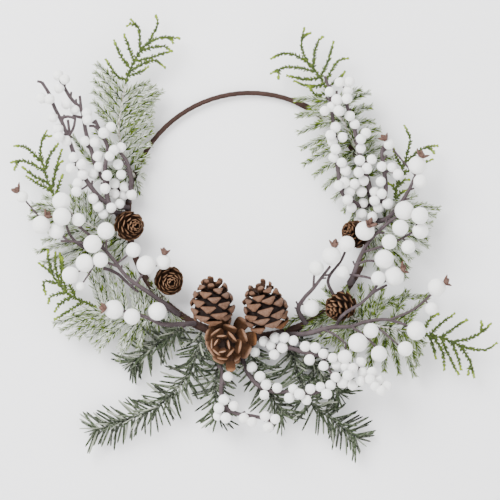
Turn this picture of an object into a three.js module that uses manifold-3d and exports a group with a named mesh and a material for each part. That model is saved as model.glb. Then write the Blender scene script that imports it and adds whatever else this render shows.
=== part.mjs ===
// A hoop wreath that hangs on a wall: a taped wire hoop, and tied to its sides and foot pine cones,
// frosted fronds with green cedar tips, long-needled fir sprays, and sprays of sugared berries.
// Millimetres. +X is to the right, the front faces -Y, +Z is up, and the origin is where the hoop hangs.
import * as THREE from "three";
import { mergeVertices } from "three/addons/utils/BufferGeometryUtils.js";
import Module from "manifold-3d";

const wasm = await Module();
wasm.setup();

// Driving dimensions.
const HOOP_RADIUS = 122;
const HOOP_WIRE_RADIUS = 2.25;
const HOOP_SEGMENTS = 36;
const HOOP_SIDES = 6;
const TAPE_WALL = 0.7;
const SEAT_GAP = 0.35;
const STEM_RADIUS = 1.3;
const TWIG_RADIUS = 1.0;
const STALK_RADIUS = 0.8;
const NECK_SHARE = 0.5;
const FAR_SHARE = 2.1;
const BESIDE_SHARE = 0.8;
const LEAD = 4;
const SMALL_BERRY_RADIUS = 5;
const SMALL_BERRY_SPREAD = 0.08;

// Places are laid out on a square template: millimetres right of its left edge, down from its
// top edge, and out in front of the hoop. The hoop's centre is at this place on it.
const CENTRE_RIGHT = 250;
const CENTRE_DOWN = 215;
const TAPE_RADIUS = HOOP_WIRE_RADIUS + SEAT_GAP + TAPE_WALL;
const TAPE_START = 15;
const TAPE_SEGMENTS = 28;
const HANG_HEIGHT = HOOP_RADIUS - HOOP_WIRE_RADIUS;

function place([right, down, out]) {
  return new THREE.Vector3(right - CENTRE_RIGHT, -out, CENTRE_DOWN - down);
}

// Materials.
const finish = (color, roughness) => new THREE.MeshStandardMaterial({ color, roughness, metalness: 0 });
const LOOKS = {
  tape: finish(0x644b44, 0.8),
  cone: finish(0xaa8269, 0.75),
  frosted: finish(0xc8cdc3, 0.85),
  cedar: finish(0x5a8232, 0.7),
  fir: finish(0x3c4b32, 0.75),
  berry: finish(0xf0f0ee, 0.9),
};

// Solids. Welding leaves out the faces that have shrunk to a line.
const WELD = 1e-4;
function welded(geometry) {
  const bare = geometry.clone();
  bare.deleteAttribute("normal");
  bare.deleteAttribute("uv");
  const merged = mergeVertices(bare, WELD);
  const corners = [];
  for (let i = 0; i < merged.index.count; i += 3) {
    const [a, b, c] = [0, 1, 2].map((k) => merged.index.getX(i + k));
    if (a !== b && b !== c && c !== a) corners.push(a, b, c);
  }
  return merged.setIndex(corners);
}

function solidFrom(geometry) {
  const whole = welded(geometry);
  return new wasm.Manifold(new wasm.Mesh({
    numProp: 3,
    vertProperties: new Float32Array(whole.getAttribute("position").array),
    triVerts: new Uint32Array(whole.index.array),
  }));
}

function joined(solids) {
  let whole = solids[0];
  for (const solid of solids.slice(1)) whole = whole.add(solid);
  return whole;
}

function meshFrom(name, solid, material) {
  const { vertProperties, triVerts } = solid.getMesh();
  const raw = new THREE.BufferGeometry();
  raw.setAttribute("position", new THREE.BufferAttribute(vertProperties, 3));
  raw.setIndex(new THREE.BufferAttribute(triVerts, 1));
  const geometry = welded(raw);
  geometry.computeVertexNormals();
  const mesh = new THREE.Mesh(geometry, material);
  mesh.name = name;
  return mesh;
}

// What is already in the way, as round-ended rods, so that no two pieces cross.
class Rod extends THREE.Line3 {
  constructor(start, end, radius, owner, stem = owner) {
    super(start.clone(), end.clone());
    this.radius = radius;
    this.owner = owner;
    this.stem = stem;
    this.middle = this.getCenter(new THREE.Vector3());
    this.reach = this.distance() / 2 + radius;
  }

  clears(other) {
    const apart = this.middle.distanceTo(other.middle) - this.reach - other.reach;
    if (apart > SEAT_GAP) return true;
    return Math.sqrt(this.distanceSqToLine3(other)) >= this.radius + other.radius + SEAT_GAP;
  }
}

const taken = [];
const isClear = (rod) => taken.every((other) => other.owner === rod.owner || rod.clears(other));
const isAlone = (rod) => taken.every((other) => other.stem === rod.stem || rod.clears(other));
const claim = (rod) => taken.push(rod);

// A route is a chain of straight steps; its parameter counts the steps evenly.
class Route extends THREE.Curve {
  constructor(points) {
    super();
    this.points = points;
  }

  getPoint(t, target = new THREE.Vector3()) {
    const steps = this.points.length - 1;
    const index = Math.min(Math.floor(t * steps), steps - 1);
    return target.lerpVectors(this.points[index], this.points[index + 1], t * steps - index);
  }

  getUtoTmapping(u) {
    return u;
  }

  nearest(point) {
    let best = { distance: Infinity };
    for (let i = 0; i + 1 < this.points.length; i += 1) {
      const line = new THREE.Line3(this.points[i], this.points[i + 1]);
      const on = line.closestPointToPoint(point, true, new THREE.Vector3());
      const distance = on.distanceTo(point);
      if (distance < best.distance) {
        best = { on, distance, tangent: line.delta(new THREE.Vector3()).normalize(), index: i };
      }
    }
    return best;
  }
}

// Lays a stem along its given points, bent out to the front wherever another piece is in its way.
// Its first points are held: one on the stem that a twig grows from, or a seat at the tape and a lead
// straight away from it. A trimmed rod leaves out its round end, where a stem meets tape or stem.
const SPRAY_STEP = 16;
const BUTT_TRIM = 2 * STEM_RADIUS;
const BUTT_GAP = 0.9;
const LIFT = 0.5;
const LIFT_SLOPE = 0.6;
const LIFT_ROUNDS = 120;
function layStem(given, radius, owner, step, held, isButted) {
  const curve = new THREE.CatmullRomCurve3(given.slice(held - 1));
  const laid = [
    ...given.slice(0, held - 1),
    ...curve.getSpacedPoints(Math.max(2, Math.round(curve.getLength() / step))),
  ];
  const count = laid.length - 1;
  const lift = laid.map(() => 0);
  const at = (i) => laid[i].clone().setY(laid[i].y - lift[i]);
  const trimmed = (end, other) => {
    const length = Math.max(end.distanceTo(other) - BUTT_TRIM, 0.5);
    return end.clone().sub(other).setLength(length).add(other);
  };
  const rodAt = (i, route) => {
    const [from, to] = [at(i), at(i + 1)];
    const start = isButted && i === 0 ? trimmed(from, to) : from;
    const end = i === count - 1 ? trimmed(to, from) : to;
    return new Rod(start, end, radius, owner, route);
  };
  for (let round = 0; round < LIFT_ROUNDS; round += 1) {
    let blocked = false;
    for (let i = 0; i < count; i += 1) {
      if (isClear(rodAt(i))) continue;
      blocked = true;
      if (i >= held) lift[i] += LIFT;
      if (i + 1 >= held) lift[i + 1] += LIFT;
    }
    const fall = LIFT_SLOPE * step;
    for (let i = held + 1; i <= count; i += 1) lift[i] = Math.max(lift[i], lift[i - 1] - fall);
    for (let i = count - 1; i >= held; i -= 1) lift[i] = Math.max(lift[i], lift[i + 1] - fall);
    if (!blocked) break;
  }
  const route = new Route(laid.map((_, i) => at(i)));
  const rods = Array.from({ length: count }, (_, i) => rodAt(i, route));
  const blocker = rods.flatMap((rod) => taken.filter((o) => o.owner !== owner && !rod.clears(o)))[0];
  return { route, radius, rods, owner, blocker };
}

// A number from -1 to 1 that jumps about as the index counts up.
const shuffled = (index) => ((index * 7) % 10) / 5 - 1;

// A tube along a route, thinner towards its end.
function tube(stem, sides, endShare) {
  const { route, radius } = stem;
  const corners = [];
  for (let i = 0; i < sides; i += 1) {
    const angle = (2 * Math.PI * i) / sides;
    corners.push(new THREE.Vector2(radius * Math.cos(angle), radius * Math.sin(angle)));
  }
  const steps = route.points.length - 1;
  const made = new THREE.ExtrudeGeometry(new THREE.Shape(corners), { steps, extrudePath: route });
  const geometry = welded(made);
  const position = geometry.getAttribute("position");
  for (let i = 0; i < position.count; i += 1) {
    const corner = new THREE.Vector3().fromBufferAttribute(position, i);
    const ring = route.points.reduce(
      (best, point, k) => (point.distanceTo(corner) < route.points[best].distanceTo(corner) ? k : best), 0);
    const share = 1 - ((1 - endShare) * ring) / steps;
    corner.sub(route.points[ring]).multiplyScalar(share).add(route.points[ring]);
    position.setXYZ(i, corner.x, corner.y, corner.z);
  }
  return geometry;
}

// Needles: faces of a slim tube are drawn out to points that lean towards its tip. A face whose normal
// is this close to the stem's direction is an end, and grows none. Lengths vary by this much.
const NEEDLE_RADIUS = 1.25;
const END_COSINE = 0.7;
const NEEDLE_SPREAD = 0.15;
function withNeedles(geometry, stem, { length, lean, flat }) {
  const position = geometry.getAttribute("position");
  const points = Array.from(position.array);
  const faces = [];
  const corner = (i) => new THREE.Vector3().fromBufferAttribute(position, i);
  for (let i = 0; i < geometry.index.count; i += 3) {
    const face = [0, 1, 2].map((k) => geometry.index.getX(i + k));
    const [a, b, c] = face.map(corner);
    const middle = a.clone().add(b).add(c).divideScalar(3);
    const { on, tangent, index } = stem.route.nearest(middle);
    const outward = middle.clone().sub(on).normalize();
    const normal = new THREE.Triangle(a, b, c).getNormal(new THREE.Vector3());
    const isCap = Math.abs(normal.dot(tangent)) > END_COSINE;
    const isSide = Math.abs(outward.y) < flat;
    const reach = length * (1 + NEEDLE_SPREAD * shuffled(i));
    const direction = outward.multiplyScalar(Math.sin(lean)).addScaledVector(tangent, Math.cos(lean));
    const tip = middle.clone().addScaledVector(direction, reach);
    const rod = new Rod(middle, tip, NEEDLE_RADIUS, stem.owner, stem.route);
    if (isCap || !isSide || index === 0 || tip.y > TAPE_RADIUS || !isAlone(rod)) {
      faces.push(...face);
      continue;
    }
    claim(rod);
    const apex = points.length / 3;
    points.push(tip.x, tip.y, tip.z);
    face.forEach((from, k) => faces.push(from, face[(k + 1) % 3], apex));
  }
  const made = new THREE.BufferGeometry();
  made.setAttribute("position", new THREE.Float32BufferAttribute(points, 3));
  made.setIndex(faces);
  return made;
}

// An arched curve from the point of a stem nearest to a place on the template, to a tip on it.
const ARCH_SHARE = 0.55;
const ARCH = new THREE.Vector3(0, -1.5, 2);
function twigPoints(stem, start, tip) {
  const base = stem.route.nearest(place(start)).on;
  const end = place(tip);
  const middle = base.clone().lerp(end, ARCH_SHARE).add(ARCH);
  return [base, middle, end];
}

// The hoop, and the tape round the stretch that carries the picks.
class HoopArc extends THREE.Curve {
  getPoint(t, target = new THREE.Vector3()) {
    const angle = (2 * Math.PI * (TAPE_START + TAPE_SEGMENTS * t)) / HOOP_SEGMENTS;
    return target.set(HOOP_RADIUS * Math.cos(angle), 0, HOOP_RADIUS * Math.sin(angle));
  }

  getUtoTmapping(u) {
    return u;
  }
}

function ring(radius) {
  const points = [];
  for (let i = 0; i < HOOP_SIDES; i += 1) {
    const angle = (2 * Math.PI * i) / HOOP_SIDES;
    points.push(new THREE.Vector2(radius * Math.cos(angle), radius * Math.sin(angle)));
  }
  return points;
}

function hoopSolid() {
  const torus = new THREE.TorusGeometry(HOOP_RADIUS, HOOP_WIRE_RADIUS, HOOP_SIDES, HOOP_SEGMENTS);
  return solidFrom(torus.rotateX(Math.PI / 2));
}

function tapeSolid() {
  const section = new THREE.Shape(ring(TAPE_RADIUS));
  section.holes.push(new THREE.Path(ring(HOOP_WIRE_RADIUS + SEAT_GAP)));
  const wound = new THREE.ExtrudeGeometry(section, { steps: TAPE_SEGMENTS, extrudePath: new HoopArc() });
  return solidFrom(wound);
}

for (let i = 0; i < HOOP_SEGMENTS; i += 1) {
  const [start, end] = [i, i + 1].map((k) => {
    const angle = (2 * Math.PI * k) / HOOP_SEGMENTS;
    return new THREE.Vector3(HOOP_RADIUS * Math.cos(angle), 0, HOOP_RADIUS * Math.sin(angle));
  });
  claim(new Rod(start, end, TAPE_RADIUS, "hoop"));
}

// Cones: rings of cells round a slim core, each cell drawn out to a scale. Every ring is turned by half
// a cell from the one below, so that the scales spiral, and a stub joins the cone's base to the tape.
const LARGE_CONE = { length: 46, reach: 24, columns: 7, rows: 5 };
const SMALL_CONE = { length: 31, reach: 16.5, columns: 6, rows: 4 };
const CONES = [
  {
    name: "cone_front", size: LARGE_CONE, spread: 1,
    centre: [229.5, 341, 30], axis: [-0.22, -1, -0.12], seat: [232, 335.6],
  },
  {
    name: "cone_left", size: LARGE_CONE, spread: 0.88,
    centre: [211.5, 295, 32], axis: [-0.1, -0.2, 1], seat: [211.5, 331],
  },
  {
    name: "cone_right", size: LARGE_CONE, spread: 0.95,
    centre: [263, 304, 32], axis: [-0.28, -0.3, 1], seat: [266, 335.9],
  },
  {
    name: "small_cone_left_upper", size: SMALL_CONE, spread: 1,
    centre: [131.5, 226, 24], axis: [0.5, -1, -0.05], seat: [128.5, 227],
  },
  {
    name: "small_cone_left_lower", size: SMALL_CONE, spread: 1,
    centre: [170, 281, 22], axis: [0.15, -1, -0.15], seat: [158, 295],
  },
  {
    name: "small_cone_right_upper", size: SMALL_CONE, spread: 0.9,
    centre: [353, 233, 22], axis: [-0.3, -1, 0.1], seat: [369.5, 240],
  },
  {
    name: "small_cone_right_lower", size: SMALL_CONE, spread: 1,
    centre: [338, 307, 22], axis: [0.1, -1, 0.1], seat: [335.4, 302.2],
  },
];

// Shares of a cone's length that its core and axis take, measured from its middle.
const CORE_FOOT = -0.4;
const CORE_HEIGHT = 0.7;
const BUTT_END = -0.42;
const TIP_END = 0.46;
// Shares of a cone's reach.
const CORE_REACH = 0.27;
const LEAST_REACH = 0.24;
const SCALE_HALF_WIDTH = 0.3;
const SCALE_HALF_THICKNESS = 0.07;
// From the lowest ring of scales to the highest: how far they tilt up, and their share of the reach.
// A scale leans out by less than its tilt, because it curves up from its root.
const TILTS = [0.05, 1.1];
const SPANS = [0.95, 0.62];
const LEAN_SHARE = 0.85;
const RISE_SHARE = 0.75;
// The core narrows by this share to the top, and a scale takes at most this share of its cell.
const CORE_TAPER = 0.8;
const CELL_SHARE = 0.42;
const RIB_SIDES = [-0.85, 0, 0.85];

// The cells' corners on the core, ring by ring from the base up, and each scale's end. The ribs are
// lines along the scales, which keep other pieces off them.
function scalyGeometry({ length, reach, columns, rows }, spread) {
  const points = [];
  const faces = [];
  const add = (radius, angle, height) => {
    points.push(radius * Math.sin(angle), height, radius * Math.cos(angle));
    return points.length / 3 - 1;
  };
  const onAxis = (radius, angle, height) => (
    new THREE.Vector3(radius * Math.sin(angle), height, radius * Math.cos(angle)));
  const cell = (2 * Math.PI) / columns;
  const radiusAt = (row) => reach * CORE_REACH * (1 - CORE_TAPER * (row / rows) ** 2);
  const heightAt = (row) => length * (CORE_FOOT + (CORE_HEIGHT * row) / rows);
  const rings = [];
  const ribs = [];
  for (let row = 0; row <= rows; row += 1) {
    const corners = Array.from({ length: columns }, (_, i) => cell * (i + row / 2));
    rings.push(corners.map((angle) => add(radiusAt(row), angle, heightAt(row))));
  }
  const quad = (a, b, c, d) => faces.push(a, b, c, a, c, d);
  const halfThickness = reach * SCALE_HALF_THICKNESS;
  for (let row = 0; row < rows; row += 1) {
    const share = row / (rows - 1);
    const tilt = THREE.MathUtils.lerp(...TILTS, share);
    const span = reach * spread * THREE.MathUtils.lerp(...SPANS, share);
    const out = Math.max(span * Math.cos(tilt * LEAN_SHARE), reach * LEAST_REACH);
    const height = heightAt(row + 0.5) + RISE_SHARE * span * Math.sin(tilt);
    const halfAngle = Math.min(CELL_SHARE * cell, (SCALE_HALF_WIDTH * reach) / out);
    const [rise, drop] = [halfThickness * Math.sin(tilt), halfThickness * Math.cos(tilt)];
    for (let i = 0; i < columns; i += 1) {
      const next = (i + 1) % columns;
      const base = [rings[row][i], rings[row][next], rings[row + 1][next], rings[row + 1][i]];
      const middle = cell * (i + row / 2 + 0.75);
      const [left, right] = [middle - halfAngle, middle + halfAngle];
      const end = [
        add(out + rise, left, height - drop), add(out + rise, right, height - drop),
        add(out - rise, right, height + drop), add(out - rise, left, height + drop),
      ];
      for (let k = 0; k < 4; k += 1) quad(base[k], base[(k + 1) % 4], end[(k + 1) % 4], end[k]);
      for (const side of RIB_SIDES) {
        const root = onAxis(radiusAt(row), middle, heightAt(row + 0.5));
        ribs.push([root, onAxis(out, middle + side * halfAngle, height)]);
      }
      quad(...end);
    }
  }
  const bottom = add(0, 0, BUTT_END * length);
  const top = add(0, 0, TIP_END * length);
  for (let i = 0; i < columns; i += 1) {
    const next = (i + 1) % columns;
    faces.push(bottom, rings[0][next], rings[0][i], top, rings[rows][i], rings[rows][next]);
  }
  const made = new THREE.BufferGeometry();
  made.setAttribute("position", new THREE.Float32BufferAttribute(points, 3));
  made.setIndex(faces);
  return { geometry: made, ribs };
}

// A stub of this radius joins each cone to the tape, from this share of its length below its middle.
const STUB_RADIUS = 2.2;
const STUB_FROM = -0.34;
const RIB_RADIUS = 0.09;
function coneSolid({ name, size, centre, axis, seat, spread }) {
  const { length, reach } = size;
  const middle = place(centre);
  const up = new THREE.Vector3(...axis).normalize();
  const turn = new THREE.Quaternion().setFromUnitVectors(new THREE.Vector3(0, 1, 0), up);
  const { geometry, ribs } = scalyGeometry(size, spread);
  geometry.applyQuaternion(turn).translate(middle.x, middle.y, middle.z);
  const back = middle.clone().addScaledVector(up, STUB_FROM * length);
  const [foot, lead] = seatAndLead(place([...seat, 0]), back, STUB_RADIUS);
  const stub = { route: new Route([back, lead, foot]), radius: STUB_RADIUS };
  for (const rib of ribs) {
    const [start, end] = rib.map((point) => point.applyQuaternion(turn).add(middle));
    claim(new Rod(start, end, reach * RIB_RADIUS, name));
  }
  claim(new Rod(back, lead, STUB_RADIUS, name));
  claim(new Rod(lead, foot, STUB_RADIUS, name));
  return joined([solidFrom(geometry), solidFrom(tube(stub, 4, 1))]);
}

// A seat square to the tape's nearest face, a small gap in front of it, and a lead straight away from it.
// A stouter stem stands a little further off, because its edges are wider than the face.
const STOUT_SHARE = 0.1;
const tapeMesh = meshFrom("tape_binding", tapeSolid(), LOOKS.tape);
function seatAndLead(near, from, radius) {
  const on = near.clone().setY(0).setLength(HOOP_RADIUS);
  const along = new THREE.Vector3(-on.z, 0, on.x).normalize();
  const away = from.clone().sub(on);
  away.addScaledVector(along, -away.dot(along)).normalize();
  const hitFrom = (direction) => {
    const outside = on.clone().addScaledVector(direction, 2 * TAPE_RADIUS);
    return new THREE.Raycaster(outside, direction.clone().negate()).intersectObject(tapeMesh)[0];
  };
  const square = hitFrom(away).face.normal.clone();
  const seat = hitFrom(square).point.addScaledVector(square, SEAT_GAP + STOUT_SHARE * radius);
  return [seat, seat.clone().addScaledVector(square, LEAD)];
}

// Fir sprays: one stem each, with long needles all round.
const FIR = { step: 8, sides: 3, needle: { length: 22, lean: 0.62, flat: 1.1 } };
const FIR_SPRAYS = [
  [
    [202, 326.6, 4.5], [199, 343, 8], [192, 368, 10], [175, 390, 11], [153, 409, 11], [117, 423, 9],
    [97, 429, 7],
  ],
  [[224.5, 334.3, 4.5], [222, 352, 2.5], [217, 372, 5], [216, 385, 8], [216, 399, 9], [218, 414, 8]],
  [[248.5, 337, 4.5], [253, 356, 3], [258, 370, 7], [268, 390, 8], [282, 414, 8]],
  [[285, 332, 4.5], [292, 352, 8], [300, 380, 9], [312, 404, 9], [330, 418, 9], [355, 437, 7]],
  [[187, 319.5, 4.5], [170, 336, 8], [150, 349, 9], [133, 362, 8]],
  [[297, 327.5, 4.5], [307, 348, 7], [320, 372, 8], [338, 392, 8]],
];

// Frosted fronds: a stem, and brushes of short needles; each ends at the butt of its green tip.
const FROSTED = { step: 10.5, sides: 3, needle: { length: 9, lean: 0.75, flat: 0.8 } };
const FRONDS = [
  {
    stem: [[135, 177, 4.5], [125, 158, 10], [119, 130, 13], [121.5, 109, 15], [125.5, 86, 16]],
    twigs: [
      [[124, 92], [99, 66, 18]], [[121, 110], [96, 83, 14]], [[119, 128], [96, 104, 17]],
      [[123, 97], [147, 84, 13]], [[121, 114], [160, 93, 17]], [[119, 128], [151, 106, 13]],
      [[120, 140], [150, 119, 17]], [[122, 152], [150, 134, 12]], [[126, 168], [146, 157, 14]],
    ],
  },
  {
    stem: [[131, 240, 4.5], [107, 233, 10], [85, 222, 13], [68, 210, 14], [57, 199, 15]],
    twigs: [
      [[73, 213], [36, 205, 19]], [[76, 216], [33, 218, 12]], [[74, 214], [73, 189, 16]],
      [[88, 224], [86, 196, 13]], [[94, 227], [100, 198, 16]], [[88, 224], [52, 230, 16]],
      [[105, 232], [72, 246, 11]], [[112, 233], [40, 251, 15]], [[116, 234], [86, 262, 12]],
    ],
  },
  {
    stem: [[172, 309, 4.5], [150, 316, 9], [125, 316, 13], [99, 309, 15]],
    twigs: [
      [[106, 311], [57, 323, 12]], [[114, 314], [71, 335, 16]], [[124, 316], [92, 337, 12]],
      [[132, 317], [101, 348, 16]], [[150, 316], [140, 342, 15]],
      [[104, 311], [89, 270, 16]], [[112, 313], [103, 272, 12]], [[126, 316], [122, 282, 14]],
      [[146, 317], [141, 286, 11]],
    ],
  },
  {
    stem: [[367.5, 184, 4.5], [362, 167, 9], [353, 142, 13], [338, 112, 15], [328, 93, 16]],
    twigs: [
      [[333, 103], [298, 100, 13]], [[343, 122], [301, 132, 17]], [[352, 142], [306, 163, 12]],
      [[361, 162], [326, 186, 16]], [[336, 110], [366, 94, 13]], [[346, 128], [371, 122, 17]],
      [[355, 147], [382, 138, 13]], [[362, 165], [390, 158, 16]], [[367, 183], [345, 209, 13]],
    ],
  },
  {
    stem: [[371.3, 229.5, 4.5], [383, 222, 11], [395, 204, 15]],
    twigs: [
      [[390, 213], [432, 215, 17]], [[386, 219], [424, 230, 13]], [[381, 226], [425, 245, 17]],
      [[377, 231], [408, 257, 12]], [[374, 234], [404, 276, 16]], [[389, 214], [412, 196, 12]],
    ],
  },
  {
    stem: [[328.5, 308.5, 4.5], [350, 317, 9], [380, 326, 13], [405, 331, 15], [420, 334, 16]],
    twigs: [
      [[400, 330], [428, 295, 13]], [[374, 325], [382, 291, 13]],
      [[362, 321], [360, 287, 16]], [[350, 318], [342, 342, 18]], [[408, 331], [419, 352, 17]],
      [[396, 329], [413, 373, 13]], [[384, 326], [384, 368, 17]], [[370, 323], [352, 358, 12]],
      [[358, 320], [326, 342, 13]],
    ],
  },
];

// Green cedar tips, each on the end of the frond before it in the list above.
const CEDAR = { step: 9.5, sides: 3, needle: { length: 6.5, lean: 0.7, flat: 0.75 } };
const CEDAR_TIPS = [
  {
    stem: [[130, 71, 17], [141, 51.5, 18], [148, 44, 18], [155, 32, 18], [157, 18, 17]],
    twigs: [
      [[127, 81], [107, 61, 19]], [[130, 71], [115, 42, 16]], [[133.5, 63], [125, 36, 19]],
      [[140, 53], [139, 33, 17], [132, 21, 17]], [[146, 46], [161, 38, 19], [179, 39, 18]],
      [[141, 53], [159, 47, 16], [170, 51, 16]], [[135, 62], [156, 56, 19], [172, 52, 19]],
      [[130.5, 72], [164, 66, 17]],
    ],
  },
  {
    stem: [[48, 184, 16], [45, 168, 17], [41, 151, 17], [47, 132, 16]],
    twigs: [
      [[42, 162], [27, 147, 18], [16, 146.5, 17]], [[45, 172], [31, 163, 15], [13, 163, 15]],
      [[48, 183], [23, 168, 18]], [[51, 190], [28, 177, 15]], [[46, 172], [51, 156, 15], [58, 145, 15]],
      [[52, 191], [56, 172, 18], [62, 152, 18]],
    ],
  },
  {
    stem: [[81, 300, 15], [70, 295, 15], [58, 283, 15], [51, 273, 15], [41, 263, 14]],
    twigs: [
      [[54, 277], [49, 252, 17]], [[60, 285], [57, 254, 13]], [[67, 292], [65, 260, 17]],
      [[58, 283], [44, 281, 12], [46, 293, 12]], [[65, 291], [49, 302, 17]],
      [[73, 296], [56, 310, 13]], [[82, 301], [56, 319, 17]],
    ],
  },
  {
    stem: [[320, 78, 16], [307, 63, 17], [301.5, 46, 17], [304, 30, 16]],
    twigs: [
      [[307, 63], [293, 56, 19], [272, 59, 18]], [[314, 71], [293, 67, 15], [272, 74, 15]],
      [[320, 79], [288, 77, 19]], [[324, 86], [296, 84, 16]], [[313, 70], [315, 55, 15], [321, 38, 15]],
      [[319, 77], [333, 44, 18]], [[323, 84], [335, 66, 15], [347, 59, 15]], [[325, 88], [344, 74, 18]],
    ],
  },
  {
    stem: [[396, 189, 16], [401, 170, 17], [409, 143, 17], [405, 127, 16]],
    twigs: [
      [[402, 166], [393, 149, 18]], [[402, 168], [416, 151, 15], [436, 146, 15]],
      [[399, 177], [431, 160, 18]], [[396.5, 188], [408, 180, 14]], [[400, 175], [386, 168, 14]],
    ],
  },
  {
    stem: [[438, 337, 16], [449, 341, 17], [471, 348, 17], [493, 344, 16]],
    twigs: [
      [[430, 336], [453, 314, 18]], [[439, 337], [465, 321, 15]],
      [[450, 341], [470, 336, 18], [489, 325, 18]],
      [[430, 336], [435, 357, 15]], [[434, 336], [445, 365, 18]], [[441, 338], [457, 372, 14]],
      [[450, 341], [460, 368, 18]], [[459, 345], [469, 360, 14], [473, 375, 14]],
    ],
  },
];

// Sprays of small berries.
const SMALL_SPRAYS = [
  {
    name: "small_berries_left_1",
    stem: [[129.6, 200.5, 5], [130, 193, 18], [132, 180, 28], [128, 163, 32], [121, 153, 33]],
  },
  {
    name: "small_berries_left_2",
    stem: [
      [128.8, 207.5, 5], [113, 206, 20], [100, 197, 28], [87, 180, 34], [78, 162, 38],
      [71, 142, 42], [64, 124, 46], [56, 108, 49], [51, 95, 51], [44, 84, 52],
    ],
    twigs: [[[62, 121], [77, 120, 46]]],
  },
  {
    name: "small_berries_left_3",
    stem: [
      [128, 214, 6], [114, 211, 16], [107, 192, 28], [106, 168, 36], [109, 150, 38], [104, 137, 40],
      [96, 121, 42],
    ],
  },
  {
    name: "small_berries_left_4",
    stem: [
      [130.8, 193, 5], [113, 187, 18], [99, 172, 24], [92, 150, 30], [87, 133, 34], [83, 112, 38],
      [72, 99, 42], [62, 82, 44],
    ],
    twigs: [[[82, 109], [81, 97, 40]]],
  },
  {
    name: "small_berries_right_1",
    stem: [
      [370.5, 197, 5], [369, 192, 18], [367, 182, 26], [362, 166, 29], [358, 151, 31],
      [355, 135, 33], [350, 120, 35], [346, 105, 37], [345, 90, 38],
    ],
  },
  {
    name: "small_berries_right_2",
    stem: [
      [371.5, 205.5, 5], [358, 205, 18], [342, 193, 24], [338, 174, 28], [336, 154, 30],
      [335, 138, 32], [332, 118, 34], [330, 100, 36], [329, 86, 37],
    ],
  },
  {
    name: "small_berries_right_3",
    stem: [
      [372, 213, 5], [380, 204, 18], [385, 190, 26], [383, 168, 29], [381, 152, 31], [386, 143, 32],
    ],
    twigs: [[[383, 172], [392, 173, 33]]],
  },
  {
    name: "small_berries_foot_1",
    stem: [
      [257, 336.8, 5], [268, 345, 18], [288, 347, 26], [306, 352, 28], [324, 356, 30],
      [343, 361, 32], [362, 371, 34], [376, 380, 36], [384, 386, 36],
    ],
    twigs: [[[320, 355], [330, 371, 34]], [[341, 360], [349, 378, 36]]],
  },
  {
    name: "small_berries_foot_2",
    stem: [
      [239.5, 336.6, 5], [242, 356, 2.5], [248, 373, 12], [260, 386, 24], [276, 391, 26],
      [292, 391, 27], [308, 393, 29], [320, 390, 30], [337, 383, 31],
    ],
  },
  {
    name: "small_berries_foot_3",
    stem: [
      [218, 333, 5], [216, 354, 2.5], [222, 374, 12], [221, 393, 22], [226, 406, 25],
      [238, 413, 27], [252, 415, 29], [266, 418, 31], [275, 423, 32],
    ],
  },
];
const SMALL_BERRIES = [
  [76, 111], [88, 114], [89, 124], [112, 128], [102, 134], [66, 142], [86, 142], [97, 146], [116, 147],
  [124, 148], [112, 157], [99, 159], [75, 158], [84, 166], [119, 166], [71, 169], [94, 172], [82, 177],
  [108, 176], [122, 175], [78, 187], [115, 184], [126, 187], [96, 188], [106, 199], [116, 195], [132, 196],
  [94, 201], [120, 205], [61, 78], [68, 89], [58, 89], [44, 100], [55, 104], [68, 107], [55, 119], [59, 131],
  [329, 93], [340, 84], [350, 84], [347, 95], [337, 101], [330, 108], [346, 107], [337, 113], [350, 117],
  [355, 127], [333, 128], [342, 138], [330, 140], [365, 134], [360, 146], [333, 152], [343, 158], [359, 160],
  [371, 158], [366, 169], [345, 170], [381, 167], [392, 166], [399, 175], [358, 180], [378, 181], [340, 184],
  [351, 189], [381, 194], [364, 192], [374, 200], [347, 200], [387, 205], [357, 206], [378, 209], [372, 219],
  [271, 345], [280, 337], [292, 339], [284, 348], [274, 354], [255, 352], [305, 346], [316, 346], [326, 352],
  [309, 360], [323, 364], [336, 364], [349, 366], [360, 361], [347, 376], [362, 377], [373, 372], [379, 384],
  [388, 388], [333, 378], [341, 383], [352, 386], [322, 390], [310, 388], [293, 386], [298, 396], [285, 396],
  [310, 399], [262, 378], [276, 386], [264, 394], [252, 368], [264, 414], [275, 418], [270, 427], [252, 421],
  [229, 378], [224, 400], [216, 407], [234, 406], [225, 415], [244, 418],
];

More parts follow.
